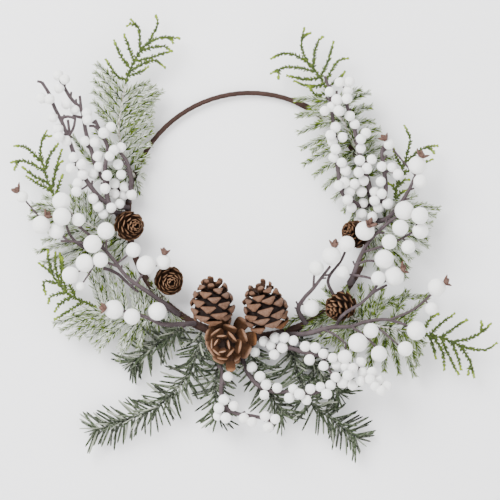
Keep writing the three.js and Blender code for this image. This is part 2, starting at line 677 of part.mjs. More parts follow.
// Sprays of large berries: each berry is [right, down, width].
const LARGE_SPRAYS = [
  {
    name: "large_berries_left",
    stem: [
      [179, 314.5, 6], [163, 302, 17], [146, 290, 29], [128, 277, 31], [113, 258, 33],
      [101, 245, 35], [88, 233, 37], [74, 222, 39],
    ],
    twigs: [
      [[120, 267], [97, 262, 39]], [[108, 252], [108, 238, 41]], [[103, 247], [62, 241, 40]],
      [[136, 283], [150, 268, 31]], [[84, 229], [65, 209, 43]], [[70, 232], [50, 227, 43]],
    ],
  },
  {
    name: "large_berries_foot_left",
    stem: [
      [195, 323.7, 6], [180, 324, 17], [164, 324, 27], [150, 318, 33], [136, 313, 36],
      [121, 310, 38],
    ],
  },
  {
    name: "large_berries_right_foot",
    stem: [
      [276, 334, 6], [288, 334, 17], [306, 333, 27], [330, 327, 31], [350, 326, 31], [366, 321, 33],
      [386, 319, 35], [404, 324, 37],
    ],
    twigs: [
      [[389, 319], [412, 309, 39], [430, 294, 41]], [[322, 330], [345, 343, 37]],
      [[366, 321], [392, 340, 39]], [[350, 326], [374, 345, 39]],
    ],
  },
  {
    name: "large_berries_right",
    stem: [
      [353, 281, 6], [348, 284, 19], [352, 276, 31], [358, 260, 33], [365, 246, 35], [374, 235, 37],
      [386, 224, 39], [398, 215, 40],
    ],
    twigs: [
      [[357, 263], [378, 262, 39]], [[362, 252], [391, 243, 39], [412, 232, 41]],
      [[353, 274], [380, 283, 39]], [[354, 270], [340, 252, 35]],
    ],
  },
  {
    name: "large_berries_right_inner",
    stem: [
      [306, 323.5, 6], [298, 310, 13], [303, 299, 21], [312, 289, 24], [320, 279, 26],
      [330, 266, 27],
    ],
    twigs: [[[312, 289], [314, 274, 27]]],
  },
  {
    name: "large_berries_right_upper",
    stem: [[372, 221, 6], [386, 219, 17], [398, 206, 29], [408, 190, 35], [414, 176, 37]],
  },
];
const LARGE_BERRIES = [
  [63, 202, 18], [64, 217, 18], [43, 225, 18], [58, 231, 16], [80, 220, 13], [107, 231, 17], [94, 244, 18],
  [134, 250, 15], [147, 265, 19], [164, 262, 15], [86, 263, 18], [102, 260, 15], [72, 275, 17], [82, 286, 9],
  [115, 309, 19], [133, 316, 16], [158, 311, 18], [24, 197, 12], [364, 231, 19], [346, 244, 16],
  [331, 256, 19], [316, 268, 15], [342, 272, 14], [311, 308, 17], [403, 211, 19], [418, 216, 17],
  [399, 228, 16], [419, 231, 16], [388, 242, 15], [407, 247, 14], [383, 259, 19], [393, 276, 19],
  [377, 278, 14], [416, 166, 18], [419, 182, 14], [435, 287, 18], [430, 308, 13], [415, 330, 19],
  [370, 330, 15], [357, 342, 19], [378, 353, 16], [404, 348, 15], [344, 356, 14], [388, 145, 11],
];
// Berries that still wear a calyx, with its place beside each.
const CALYXES = [
  [[164, 262], [165, 252]], [[115, 309], [103, 307]], [[364, 231], [368, 225]], [[331, 256], [334, 245]],
  [[393, 276], [403, 268]], [[416, 166], [420, 157]], [[435, 287], [447, 280]], [[388, 145], [384, 140]],
  [[43, 225], [52, 212]],
];

// Every stem is laid before any berry or needle, so that those find their room round the stems. A twig
// that finds no room is left out.
const laidStems = new Map();
function layAll(name, { stem, twigs = [] }, step, butt) {
  const points = stem.map(place);
  const start = butt ? [butt] : seatAndLead(points.shift(), points[0], STEM_RADIUS);
  const main = layStem([...start, ...points], STEM_RADIUS, name, step, start.length, true);
  if (main.blocker) throw new Error(name + " has no room for its stem beside " + main.blocker.owner);
  main.rods.forEach(claim);
  const laid = [main];
  for (const [[right, down], ...tips] of twigs) {
    const depth = -main.route.nearest(place([right, down, tips[0][2]])).on.y;
    const along = twigPoints(main, [right, down, depth], tips[0]);
    along.push(...tips.slice(1).map(place));
    const twig = layStem(along, TWIG_RADIUS, name, step, 1, false);
    if (twig.blocker) continue;
    twig.rods.forEach(claim);
    laid.push(twig);
  }
  laidStems.set(name, laid);
}

// A stem's end is this share as thick as its start.
const BRUSH_END = 0.45;
const SPRAY_END = 0.7;
function brushSolid(name, look) {
  const solids = laidStems.get(name).map((stem) => {
    const core = tube(stem, look.sides, BRUSH_END);
    return solidFrom(withNeedles(core, stem, look.needle));
  });
  return joined(solids);
}

// A berry hangs on a short stalk from the nearest stem of its own kind that has a clear way to it, or
// is left out. Several places on the stems are tried, the last one just short of the tip, and from each
// one stalks that are shorter and longer by these steps. The neck is where the stalk widens to the ball.
const PLACES_TRIED = 8;
const END_PLACE = 0.8;
const NECK_START = 0.6;
const STALK_STEPS = [0, 1, -1, 2, -2, 3, -3, 4, -4, 6, -6, 8, -8, 10, 12, 14, 16, 18, 20, 22, 24];
function hangBerry(names, [right, down], radius, outward) {
  const spots = names.flatMap((name) => laidStems.get(name).flatMap(({ route }) => {
    const { points } = route;
    const end = points.length - 1;
    const spots = points.slice(2, end).map((from) => ({ name, from }));
    return [...spots, { name, from: points[end - 1].clone().lerp(points[end], END_PLACE) }];
  }));
  const over = place([right, down, 0]);
  const flatDistance = ({ from }) => Math.hypot(from.x - over.x, from.z - over.z);
  spots.sort((a, b) => flatDistance(a) - flatDistance(b));
  for (const { name, from } of spots.slice(0, PLACES_TRIED)) {
    for (const extra of STALK_STEPS) {
      const centre = place([right, down, -from.y + outward + extra]);
      if (-centre.y < radius + 1) continue;
      const ball = new Rod(centre, centre, radius, name);
      const stalk = new Rod(from, centre, STALK_RADIUS, name);
      const neck = new Rod(centre.clone().lerp(from, NECK_START), centre, radius * NECK_SHARE, name);
      const isOwnClear = taken.every((other) => other.owner !== name || !other.isBall
        || (ball.clears(other) && stalk.clears(other)));
      const isBeside = laidStems.get(name).every(({ rods }) => rods.every((rod) => {
        const near = rod.closestPointToPoint(centre, true, new THREE.Vector3());
        return near.distanceTo(centre) > BESIDE_SHARE * radius + rod.radius;
      }));
      if (isOwnClear && isBeside && [ball, neck, stalk].every(isClear)) {
        ball.isBall = true;
        [ball, neck, stalk].forEach(claim);
        return { name, from, centre, radius };
      }
    }
  }
  return null;
}

// A berry close to its stem is a ball whose lowest corner is drawn out to the stem; a far one has a stalk.
function berrySolids({ from, centre, radius }) {
  const ball = new THREE.IcosahedronGeometry(radius);
  const position = ball.getAttribute("position");
  const corner = new THREE.Vector3();
  const lowest = new THREE.Vector3().fromBufferAttribute(position, 0);
  const stalk = from.clone().sub(centre);
  const isFar = stalk.length() > FAR_SHARE * radius;
  const [low, along] = [lowest, stalk].map((direction) => direction.clone().normalize());
  const turn = new THREE.Quaternion().setFromUnitVectors(low, along);
  for (let i = 0; i < position.count; i += 1) {
    corner.fromBufferAttribute(position, i);
    const isDrawn = !isFar && corner.distanceTo(lowest) < 1e-3;
    corner.applyQuaternion(turn);
    if (isDrawn) corner.copy(stalk);
    position.setXYZ(i, ...corner.add(centre).toArray());
  }
  const solids = [solidFrom(ball)];
  if (isFar) solids.push(solidFrom(tube({ route: new Route([from, centre]), radius: STALK_RADIUS }, 3, 1)));
  return solids;
}

// The dry leaves that some berries still wear: a small cone that widens away from the berry.
const CALYX_RADIUS = 3.4;
const CALYX_LENGTH = 4.5;
const CALYX_SIDES = 5;
function calyxSolid({ name, centre, radius }, [right, down]) {
  const aim = place([right, down, -centre.y + 2]).sub(centre).normalize();
  const spot = centre.clone().addScaledVector(aim, radius);
  const rod = new Rod(spot, spot, CALYX_RADIUS, name);
  if (!isClear(rod)) return null;
  claim(rod);
  const star = new THREE.ConeGeometry(CALYX_RADIUS, CALYX_LENGTH, CALYX_SIDES);
  star.applyQuaternion(new THREE.Quaternion().setFromUnitVectors(new THREE.Vector3(0, -1, 0), aim));
  return solidFrom(star.translate(spot.x, spot.y, spot.z));
}

// The wreath.
const wreath = new THREE.Group();
const hanging = new THREE.Group();
hanging.position.z = -HANG_HEIGHT;
wreath.add(hanging);
const add = (name, solid, look) => hanging.add(meshFrom(name, solid, LOOKS[look].clone()));

add("hoop", hoopSolid(), "tape");
hanging.add(tapeMesh);
for (const cone of CONES) add(cone.name, coneSolid(cone), "cone");

FIR_SPRAYS.forEach((stem, i) => layAll("fir_spray_" + (i + 1), { stem }, FIR.step));
FRONDS.forEach((frond, i) => layAll("frosted_frond_" + (i + 1), frond, FROSTED.step));
CEDAR_TIPS.forEach((tip, i) => {
  const end = laidStems.get("frosted_frond_" + (i + 1))[0].route.points.at(-1);
  const ahead = place(tip.stem[0]).sub(end).normalize();
  layAll("cedar_tip_" + (i + 1), tip, CEDAR.step, end.clone().addScaledVector(ahead, BUTT_GAP));
});
for (const spray of SMALL_SPRAYS) layAll(spray.name, spray, SPRAY_STEP);
for (const spray of LARGE_SPRAYS) layAll(spray.name, spray, SPRAY_STEP);

// How far in front of its stem a berry hangs. Three small berries of each seven are modelled.
const LARGE_OUTWARD = 3;
const SMALL_OUTWARD = 2;
const modelledSmall = SMALL_BERRIES.filter((_, i) => i % 7 < 3);
const namesOf = (sprays) => sprays.map(({ name }) => name);
const berries = new Map(namesOf([...SMALL_SPRAYS, ...LARGE_SPRAYS]).map((name) => [name, []]));
for (const [right, down, width] of LARGE_BERRIES) {
  const hung = hangBerry(namesOf(LARGE_SPRAYS), [right, down], width / 2, LARGE_OUTWARD);
  if (!hung) continue;
  berries.get(hung.name).push(...berrySolids(hung));
  const worn = CALYXES.find(([[r, d]]) => r === right && d === down);
  const calyx = worn && calyxSolid(hung, worn[1]);
  if (calyx) berries.get(hung.name).push(calyx);
}
modelledSmall.forEach((spot, i) => {
  const radius = SMALL_BERRY_RADIUS * (1 + SMALL_BERRY_SPREAD * shuffled(i));
  const hung = hangBerry(namesOf(SMALL_SPRAYS), spot, radius, SMALL_OUTWARD);
  if (hung) berries.get(hung.name).push(...berrySolids(hung));
});
for (const [name, solids] of berries) {
  const stems = laidStems.get(name).map((stem) => solidFrom(tube(stem, 3, SPRAY_END)));
  add(name, joined([...stems, ...solids]), "berry");
}

const BRUSHES = [
  ["frosted_frond_", FRONDS, FROSTED, "frosted"],
  ["cedar_tip_", CEDAR_TIPS, CEDAR, "cedar"],
  ["fir_spray_", FIR_SPRAYS, FIR, "fir"],
];
for (const [name, list, look, colour] of BRUSHES) {
  list.forEach((_, i) => add(name + (i + 1), brushSolid(name + (i + 1), look), colour));
}

export default wreath;
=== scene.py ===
# %% [markdown]
# # A hoop wreath of cones, frosted greens and sugared berries
# The wreath hangs on a wall: a wire hoop wound with brown tape, and tied to it pine cones, frosted
# fronds with green tips, dark fir, and sprays of white foam berries. The solid model already holds
# every stem at its place and depth, with few needles and plain balls. This lesson dresses it: each
# plain node is replaced by a finer piece that keeps its form.

# %% The fixed frame
import math
import random

import bpy
import numpy as np
from mathutils import Matrix, Vector
from mathutils.bvhtree import BVHTree


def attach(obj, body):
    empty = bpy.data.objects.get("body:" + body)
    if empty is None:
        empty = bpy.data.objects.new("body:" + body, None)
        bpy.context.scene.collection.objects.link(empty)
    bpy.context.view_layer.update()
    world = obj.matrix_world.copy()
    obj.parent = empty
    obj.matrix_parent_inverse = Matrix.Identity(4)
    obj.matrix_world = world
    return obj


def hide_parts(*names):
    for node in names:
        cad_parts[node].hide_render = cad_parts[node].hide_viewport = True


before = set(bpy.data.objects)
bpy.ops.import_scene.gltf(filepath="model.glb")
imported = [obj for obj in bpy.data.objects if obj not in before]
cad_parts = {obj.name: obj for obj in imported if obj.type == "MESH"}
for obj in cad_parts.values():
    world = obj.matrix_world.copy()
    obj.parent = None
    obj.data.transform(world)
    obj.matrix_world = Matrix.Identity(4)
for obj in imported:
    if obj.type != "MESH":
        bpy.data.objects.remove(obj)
bpy.ops.object.select_all(action="DESELECT")
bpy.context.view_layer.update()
print("the solid model has", len(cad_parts), "nodes")

# %% [markdown]
# Cones, greens and berries are laid out on a template, as a florist would on paper: millimetres to the
# right of its left edge and down from its top edge. The third number is how far a place stands out in
# front of the hoop. The frame's origin is where the hoop hangs, so the template is shifted to it.

# %% Places
MM = 0.001
FRONT = Vector((0, -1, 0))
TEMPLATE_WIDTH = 500
CENTRE_RIGHT = 250
CENTRE_DOWN = 215
HANG_HEIGHT = 119.75
HOOP_RADIUS = 122


def place(right, down, out=0.0):
    """A place on the template, in the frame's metres."""
    return Vector((right - CENTRE_RIGHT, -out, CENTRE_DOWN - down - HANG_HEIGHT)) * MM


HOOP_CENTRE = place(CENTRE_RIGHT, CENTRE_DOWN)
print("the hoop's centre is", round(-HOOP_CENTRE.z / MM, 2), "mm below the hanging point")

# %% [markdown]
# The camera looks straight at the wall. A long lens from far away keeps the near berries from looking
# larger than the far ones, so the template's millimetres fall on the picture's pixels.

# %% Camera
CAMERA_DISTANCE = 5.0
camera_data = bpy.data.cameras.new("camera")
camera_data.lens = camera_data.sensor_width * CAMERA_DISTANCE / (TEMPLATE_WIDTH * MM)
camera = bpy.data.objects.new("camera", camera_data)
camera.location = place(TEMPLATE_WIDTH / 2, TEMPLATE_WIDTH / 2) + FRONT * CAMERA_DISTANCE
camera.rotation_euler = (math.radians(90), 0, 0)
bpy.context.collection.objects.link(camera)
bpy.context.scene.camera = camera
print("lens", round(camera_data.lens), "mm")

# %% [markdown]
# Shader maths reads best as a formula. This small class wraps an output socket, so that an expression
# such as 1 - mask * 0.5 adds the Math nodes by itself. Every other node comes from one method.


# %% Materials made of expressions
class Link:
    """An output socket whose arithmetic adds Math nodes."""

    def __init__(self, look, socket):
        self.look = look
        self.socket = socket

    def maths(self, operation, *values):
        return self.look.add("Math", {"operation": operation}, dict(enumerate(values)))

    def __add__(self, other):
        return self.maths("ADD", self, other)

    def __mul__(self, other):
        return self.maths("MULTIPLY", self, other)

    def __sub__(self, other):
        return self.maths("SUBTRACT", self, other)

    def __rsub__(self, other):
        return self.maths("SUBTRACT", other, self)

    __radd__ = __add__
    __rmul__ = __mul__

    def clamped(self):
        return self.maths("MINIMUM", self.maths("MAXIMUM", self, 0.0), 1.0)

    def above(self, threshold, gain):
        """A mask: 0 up to the threshold, from there rising by gain until it is 1."""
        return ((self - threshold) * gain).clamped()


class Look:
    """A material with its shader ready and one method that adds any node."""

    def __init__(self, name, roughness=0.8, specular=0.15):
        self.material = bpy.data.materials.new(name)
        self.material.use_nodes = True
        self.tree = self.material.node_tree
        self.shader = self.tree.nodes["Principled BSDF"]
        self.shader.inputs["Roughness"].default_value = roughness
        self.shader.inputs["Specular IOR Level"].default_value = specular
        self.coordinates = self.add("TexCoord", output="Object")

    def add(self, kind, settings=None, inputs=None, output=0):
        node = self.tree.nodes.new("ShaderNode" + kind)
        for key, value in (settings or {}).items():
            setattr(node, key, value)
        for key, value in (inputs or {}).items():
            if isinstance(value, Link):
                self.tree.links.new(value.socket, node.inputs[key])
            else:
                node.inputs[key].default_value = value
        return Link(self, node.outputs[output])

    def noise(self, size, detail=3.0, roughness=0.55):
        """Noise from about 0 to 1 whose blotches are this many millimetres across."""
        scale = 1 / (size * MM)
        inputs = {"Vector": self.coordinates, "Scale": scale, "Detail": detail, "Roughness": roughness}
        return self.add("TexNoise", {}, inputs, "Fac")

    def attribute(self, name):
        return self.add("Attribute", {"attribute_name": name}, {}, "Fac")

    def mix(self, factor, first, second):
        """Two colours mixed. Sockets 6 and 7 of a Mix node are its colours, and output 2 the result."""
        inputs = {0: factor, 6: first, 7: second}
        return self.add("Mix", {"data_type": "RGBA", "clamp_factor": True}, inputs, 2)

    def paint(self, colour):
        self.tree.links.new(colour.socket, self.shader.inputs["Base Color"])
        print(self.material.name, "is painted by", len(self.tree.nodes), "nodes")

    def bump(self, height, distance):
        normal = self.add("Bump", {}, {"Height": height, "Distance": distance * MM, "Strength": 1.0})
        self.tree.links.new(normal.socket, self.shader.inputs["Normal"])


def srgb(red, green, blue):
    """A colour from its 0 to 255 screen values."""
    def linear(value):
        share = value / 255
        return share / 12.92 if share <= 0.04045 else ((share + 0.055) / 1.055) ** 2.4
    return (linear(red), linear(green), linear(blue), 1.0)


def tint(first, second, share):
    """The plain colour this share of the way from the first to the second."""
    return tuple(a + (b - a) * share for a, b in zip(first, second))


# %% [markdown]
# A stem's route is drawn on the template as a few places and smoothed. Its depth isn't written here.
# It is read from the solid model: a ray is cast through the node at each step, and the slim crossing
# it finds is the stem. Where the ray misses it, more rays are cast in rings round the place. So the
# fine stems follow the plain ones, from every side.

# %% Routes and their depths
STEP = 4
CURVE_SAMPLES = 8
SLIM = 3.4 * MM
RAY_START = -0.2
RAY_NUDGE = 1e-6
MOST_CROSSINGS = 24
RINGS = (0, 0.7, 1.4, 2.2, 3.2)
RING_PLACES = 8


def curve_through(points, step=STEP):
    """Points about every step millimetres along a smooth curve through the given ones."""
    ends = [2 * points[0] - points[1], *points, 2 * points[-1] - points[-2]]
    fine = []
    for before, start, end, after in zip(ends, ends[1:], ends[2:], ends[3:]):
        for t in np.arange(CURVE_SAMPLES) / CURVE_SAMPLES:
            bend = (2 * before - 5 * start + 4 * end - after) * t**2
            bend += (3 * start - before - 3 * end + after) * t**3
            fine.append(0.5 * (2 * start + (end - before) * t + bend))
    fine.append(points[-1])
    lengths = [0.0]
    for start, end in zip(fine, fine[1:]):
        lengths.append(lengths[-1] + (end - start).length)
    count = max(2, round(lengths[-1] / (step * MM)))
    along = np.linspace(0, lengths[-1], count + 1)
    columns = [np.interp(along, lengths, column) for column in np.array(fine).T]
    return [Vector(row) for row in zip(*columns)]


def laid(spots):
    """A smooth curve through places on the template."""
    return curve_through([place(*spot) for spot in spots])


class Depths:
    """Finds what a CAD node has at a place, seen from the front."""

    def __init__(self, node):
        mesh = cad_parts[node].data
        points = [vertex.co.copy() for vertex in mesh.vertices]
        self.tree = BVHTree.FromPolygons(points, [face.vertices[:] for face in mesh.polygons])

    def crossings(self, x, z):
        """The front and back of each stretch of solid on a line straight through to the wall."""
        start = Vector((x, RAY_START, z))
        found = []
        while len(found) < MOST_CROSSINGS:
            hit = self.tree.ray_cast(start, -FRONT)[0]
            if hit is None:
                break
            found.append(hit.y)
            start = Vector((x, hit.y + RAY_NUDGE, z))
        return list(zip(found[::2], found[1::2]))

    def stem(self, point, last):
        """The middle of the slim crossing nearest the last one, or None."""
        for reach in RINGS:
            middles = []
            for k in range(RING_PLACES if reach else 1):
                angle = math.tau * k / RING_PLACES
                x = point.x + reach * MM * math.cos(angle)
                z = point.z + reach * MM * math.sin(angle)
                middles += [(a + b) / 2 for a, b in self.crossings(x, z) if b - a < SLIM]
            if middles and last is None:
                return max(middles)
            if middles:
                return min(middles, key=lambda y: abs(y - last))
        return None


def settled(points, depths, start=None):
    """The route moved to the depth of the node's own stem, and smoothed a little."""
    found = []
    last = start
    for point in points:
        depth = depths.stem(point, last)
        found.append(depth)
        last = last if depth is None else depth
    known = [i for i, y in enumerate(found) if y is not None]
    if not known:
        return points
    ys = np.interp(range(len(points)), known, [found[i] for i in known])
    padded = np.concatenate([ys[:1], ys, ys[-1:]])
    ys = (padded[:-2] + 2 * padded[1:-1] + padded[2:]) / 4
    return [Vector((p.x, y, p.z)) for p, y in zip(points, ys)]


def flat_distance(first, second):
    """How far apart two places are, seen from the front."""
    return math.hypot(first.x - second.x, first.z - second.z)


# %% [markdown]
# A twig starts at the nearest place of a stem. The solid model's own twigs are settled as the stem is.
# The finer ones that this lesson adds have no solid to follow, so they rise a little from the stem
# towards their tips, and a straight one is arched.

# %% Twigs
ARCH = Vector((0, -1.5, 2)) * MM
ARCH_SHARE = 0.55
TWIG_RISE = 1.5 * MM


def routes_of(node, stem, twigs=(), more=()):
    """The main route, the twigs of the solid model, and finer twigs that only this lesson adds."""
    depths = Depths(node)
    routes = [settled(laid(stem), depths)]
    for number, twig in enumerate([*twigs, *more]):
        is_modelled = number < len(twigs)
        start, *tips = [place(*spot) for spot in twig]
        carriers = routes if is_modelled else routes[:1 + len(twigs)]
        base = min((point for route in carriers for point in route), key=lambda p: flat_distance(p, start))
        for k, tip in enumerate(tips):
            tip.y = base.y - (0 if is_modelled else TWIG_RISE * (k + 1))
        arch = [base.lerp(tips[0], ARCH_SHARE) + ARCH] if len(tips) == 1 else []
        route = curve_through([base, *arch, *tips])
        routes.append(settled(route, depths, base.y) if is_modelled else route)
    return routes


# %% [markdown]
# Stems are the simplest thing to draw by hand in Blender: a curve with a round bevel, thinner towards
# its end, converted to a mesh. A Displace modifier with a small cloud pattern then makes the surface
# uneven, as flocked paper on wire is.


# %% Stems
def only(*things):
    """Selects these objects and nothing else, with the first one active."""
    bpy.ops.object.select_all(action="DESELECT")
    for thing in things:
        thing.select_set(True)
    bpy.context.view_layer.objects.active = things[0]


def drawn(name, lines, look, resolution=1):
    """Round tubes along lines, each a list of points and a list of radii in millimetres."""
    curve = bpy.data.curves.new(name, "CURVE")
    curve.dimensions = "3D"
    curve.bevel_depth = MM
    curve.bevel_resolution = resolution
    curve.use_fill_caps = True
    for points, radii in lines:
        spline = curve.splines.new("POLY")
        spline.points.add(len(points) - 1)
        for spot, point, radius in zip(spline.points, points, radii):
            spot.co = (*point, 1)
            spot.radius = radius
    stem = bpy.data.objects.new(name, curve)
    bpy.context.collection.objects.link(stem)
    only(stem)
    bpy.ops.object.convert(target="MESH")
    bpy.ops.object.shade_smooth()
    stem = bpy.context.object
    stem.data.materials.append(look.material)
    return stem


def tapered(route, start, end):
    """A route with a radius for each of its points, from the start's to the end's."""
    return route, list(np.linspace(start, end, len(route)))


def roughened(piece, size, strength):
    """Pushes the surface in and out by up to strength millimetres, in blotches of this size."""
    clouds = bpy.data.textures.new(piece.name, "CLOUDS")
    clouds.noise_scale = size * MM
    displace = piece.modifiers.new("uneven", "DISPLACE")
    displace.texture = clouds
    displace.texture_coords = "LOCAL"
    displace.strength = 2 * strength * MM
    displace.mid_level = 0.5
    only(piece)
    bpy.ops.object.modifier_apply(modifier=displace.name)
    bpy.data.textures.remove(clouds)


# %% [markdown]
# Needles, scales and berries are each modelled once. This helper then sets copies at many places in
# one mesh. Each copy also carries two numbers for its material: how far along it a point lies, and a
# tone of its own, so that no two needles need to look alike.


# %% Copies of one shape
class Shape:
    """A modelled shape, read once from its object, whose length runs along its own Z axis."""

    def __init__(self, model):
        mesh = model.data
        self.points = np.array([vertex.co for vertex in mesh.vertices])
        self.faces = [face.vertices[:] for face in mesh.polygons]
        height = self.points[:, 2]
        self.along = (height - height.min()) / np.ptp(height)
        bpy.data.objects.remove(model)


def copies(name, shape, placings, look):
    """One object of a copy of the shape for each (matrix, tone)."""
    points, along, tones, faces = [], [], [], []
    for matrix, tone in placings:
        start = len(points) * len(shape.points)
        turn = np.array(matrix.to_3x3())
        points.append(shape.points @ turn.T + np.array(matrix.translation))
        along.append(shape.along)
        tones.append(np.full(len(shape.points), tone))
        faces += [[start + i for i in face] for face in shape.faces]
    mesh = bpy.data.meshes.new(name)
    mesh.from_pydata(np.concatenate(points), [], faces)
    for key, values in (("along", along), ("tone", tones)):
        mesh.attributes.new(key, "FLOAT", "POINT").data.foreach_set("value", np.concatenate(values))
    mesh.shade_smooth()
    mesh.materials.append(look.material)
    piece = bpy.data.objects.new(name, mesh)
    bpy.context.collection.objects.link(piece)
    return piece


def aimed(origin, direction, side, length, width, thickness):
    """A matrix that sets a shape at origin, its Z along direction and its X near side."""
    z = direction.normalized()
    x = (side - side.dot(z) * z).normalized()
    y = z.cross(x)
    turn = Matrix((x * width, y * thickness, z * length)).transposed()
    return Matrix.Translation(origin) @ turn.to_4x4()


def finished(name, node, slot, *parts):
    """Joins the parts to one piece that stands for a node of the solid model."""
    only(*parts)
    if len(parts) > 1:
        bpy.ops.object.join()
    piece = bpy.context.object
    piece.name = name
    piece.data.name = name
    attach(piece, "root")
    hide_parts(node)
    print(name, "has", len(piece.data.polygons), "faces")
    return piece


# %% [markdown]
# The hoop is wire wound with brown paper tape. A torus is added, and its surface is stepped where one
# turn of the tape laps over the next. Where the picks are tied on, more tape goes round, and the
# windings lie in ridges.

# %% Brown tape
tape_look = Look("brown_tape", roughness=0.75)
tape_blotch = tape_look.noise(9)
tape_crease = tape_look.noise(1.1, detail=4)
tape_brown = tape_look.mix(tape_blotch, srgb(44, 31, 27), srgb(71, 51, 45))
tape_look.paint(tape_look.mix(tape_crease * 0.5, tape_brown, srgb(32, 22, 19)))
tape_look.bump(tape_crease, 0.35)

# %% Hoop
WIRE_RADIUS = 2.55
LAPS = 84
LAP_STEP = 0.28

bpy.ops.mesh.primitive_torus_add(
    major_radius=HOOP_RADIUS * MM, minor_radius=WIRE_RADIUS * MM, major_segments=256, minor_segments=8,
    location=HOOP_CENTRE, rotation=(math.radians(90), 0, 0))
bpy.ops.object.transform_apply(location=True, rotation=True, scale=True)
hoop = bpy.context.object
bpy.ops.object.mode_set(mode="EDIT")
bpy.ops.mesh.select_all(action="SELECT")
bpy.ops.mesh.subdivide(number_cuts=1)
bpy.ops.object.mode_set(mode="OBJECT")
for vertex in hoop.data.vertices:
    arm = vertex.co - HOOP_CENTRE
    spine = Vector((arm.x, 0, arm.z)).normalized() * HOOP_RADIUS * MM
    out = (arm - spine).normalized() * WIRE_RADIUS * MM
    around = math.atan2(out.y, out.dot(spine.normalized())) / math.tau
    lap = (math.atan2(arm.z, arm.x) / math.tau * LAPS + around) % 1
    vertex.co = HOOP_CENTRE + spine + out * (1 - LAP_STEP * lap / WIRE_RADIUS)
bpy.ops.object.shade_smooth()
hoop.data.materials.append(tape_look.material)
finished("wound_hoop", "hoop", "floral_tape", hoop)

# %% Tape over the picks' wires
TAPE_RADIUS = 3.15
TAPE_FROM = math.radians(150)
TAPE_TO = math.radians(430)
TAPE_POINTS = 420
RIDGES = 130
RIDGE_WANDER = 0.8
RIDGE_HEIGHT = 0.25
BUNDLE_AT = math.radians(260)
BUNDLE_SPREAD = math.radians(38)
BUNDLE_RIDGE_HEIGHT = 0.3
END_SHARE = 0.01
END_DROP = 0.5

arc = []
radii = []
for step in range(TAPE_POINTS + 1):
    share = step / TAPE_POINTS
    angle = TAPE_FROM + (TAPE_TO - TAPE_FROM) * share
    arc.append(HOOP_CENTRE + Vector((math.cos(angle), 0, math.sin(angle))) * HOOP_RADIUS * MM)
    ridge = abs(math.sin(math.pi * RIDGES * share + RIDGE_WANDER * math.sin(23 * share)))
    bundle = math.exp(-((angle - BUNDLE_AT) / BUNDLE_SPREAD) ** 2)
    radius = TAPE_RADIUS + (RIDGE_HEIGHT + BUNDLE_RIDGE_HEIGHT * bundle) * ridge + bundle
    is_end = min(share, 1 - share) < END_SHARE
    radii.append(radius - END_DROP * is_end)
tape = drawn("wound_tape", [(arc, radii)], tape_look, resolution=3)
roughened(tape, 3, 0.2)
finished("wound_tape", "tape_binding", "floral_tape", tape)

# %% [markdown]
# A pine cone is one woody scale, repeated on a spiral that turns by the golden angle. A scale starts
# as a small flat polygon with a corner down, and is extruded outwards. The upright cones have thick
# scales whose blunt ends are shields, flat on top and pointed below. The others are like spoons, and
# a subdivision surface rounds them.


# %% Three kinds of scale
def polygon(corners, radius):
    """A flat polygon, open for editing with all of it selected."""
    bpy.ops.mesh.primitive_circle_add(vertices=corners, radius=radius, fill_type="NGON")
    bpy.ops.object.mode_set(mode="EDIT")
    bpy.ops.mesh.select_all(action="SELECT")
    return bpy.context.object


def extruded(steps):
    """Extrudes the selected face in steps. Each is how far it rises and bends, and how it is resized."""
    for rise, bend, wide, thick in steps:
        bpy.ops.mesh.extrude_region_move(TRANSFORM_OT_translate={"value": (0, bend, rise)})
        bpy.ops.transform.resize(value=(wide, thick, 1))


def closed():
    """Turns all faces outwards and ends the editing."""
    bpy.ops.mesh.select_all(action="SELECT")
    bpy.ops.mesh.normals_make_consistent(inside=False)
    bpy.ops.object.mode_set(mode="OBJECT")


def modelled_scale(corners, is_spoon, steps):
    """A scale one unit long: a spoon with rounded edges, or a shield whose corners are cut."""
    scale = polygon(corners, 0.5)
    bpy.ops.transform.rotate(value=math.pi, orient_axis="Z", center_override=(0, 0, 0))
    if not is_spoon:
        bpy.ops.mesh.bevel(offset=0.14, affect="VERTICES")
    bpy.ops.transform.resize(value=(0.35, 0.18, 1), center_override=(0, 0, 0))
    extruded(steps)
    closed()
    if is_spoon:
        rounded = scale.modifiers.new("rounded", "SUBSURF")
        rounded.levels = rounded.render_levels = 1
        bpy.ops.object.modifier_apply(modifier=rounded.name)
    return Shape(scale)


shield_scale = modelled_scale(3, False, [
    (0.4, 0, 1.9, 1.1), (0.36, 0, 1.75, 1.3), (0.1, -0.05, 1.1, 2.4), (0.07, 0, 0.88, 0.8),
    (0.05, 0, 0.5, 0.4),
])
spoon_scale = modelled_scale(5, True, [
    (0.35, -0.05, 2.2, 0.75), (0.3, -0.05, 1.35, 0.85), (0.2, 0.06, 1, 1.1), (0.1, 0.08, 0.82, 1.2),
    (0.05, 0.05, 0.6, 0.9),
])
thick_spoon = modelled_scale(5, True, [
    (0.35, -0.05, 2.1, 0.8), (0.3, -0.04, 1.4, 1.1), (0.17, 0.03, 1, 1.7), (0.1, 0.05, 0.86, 1.25),
    (0.08, 0.03, 0.62, 0.6),
])
print("a shield has", len(shield_scale.faces), "faces, a spoon", len(spoon_scale.faces))


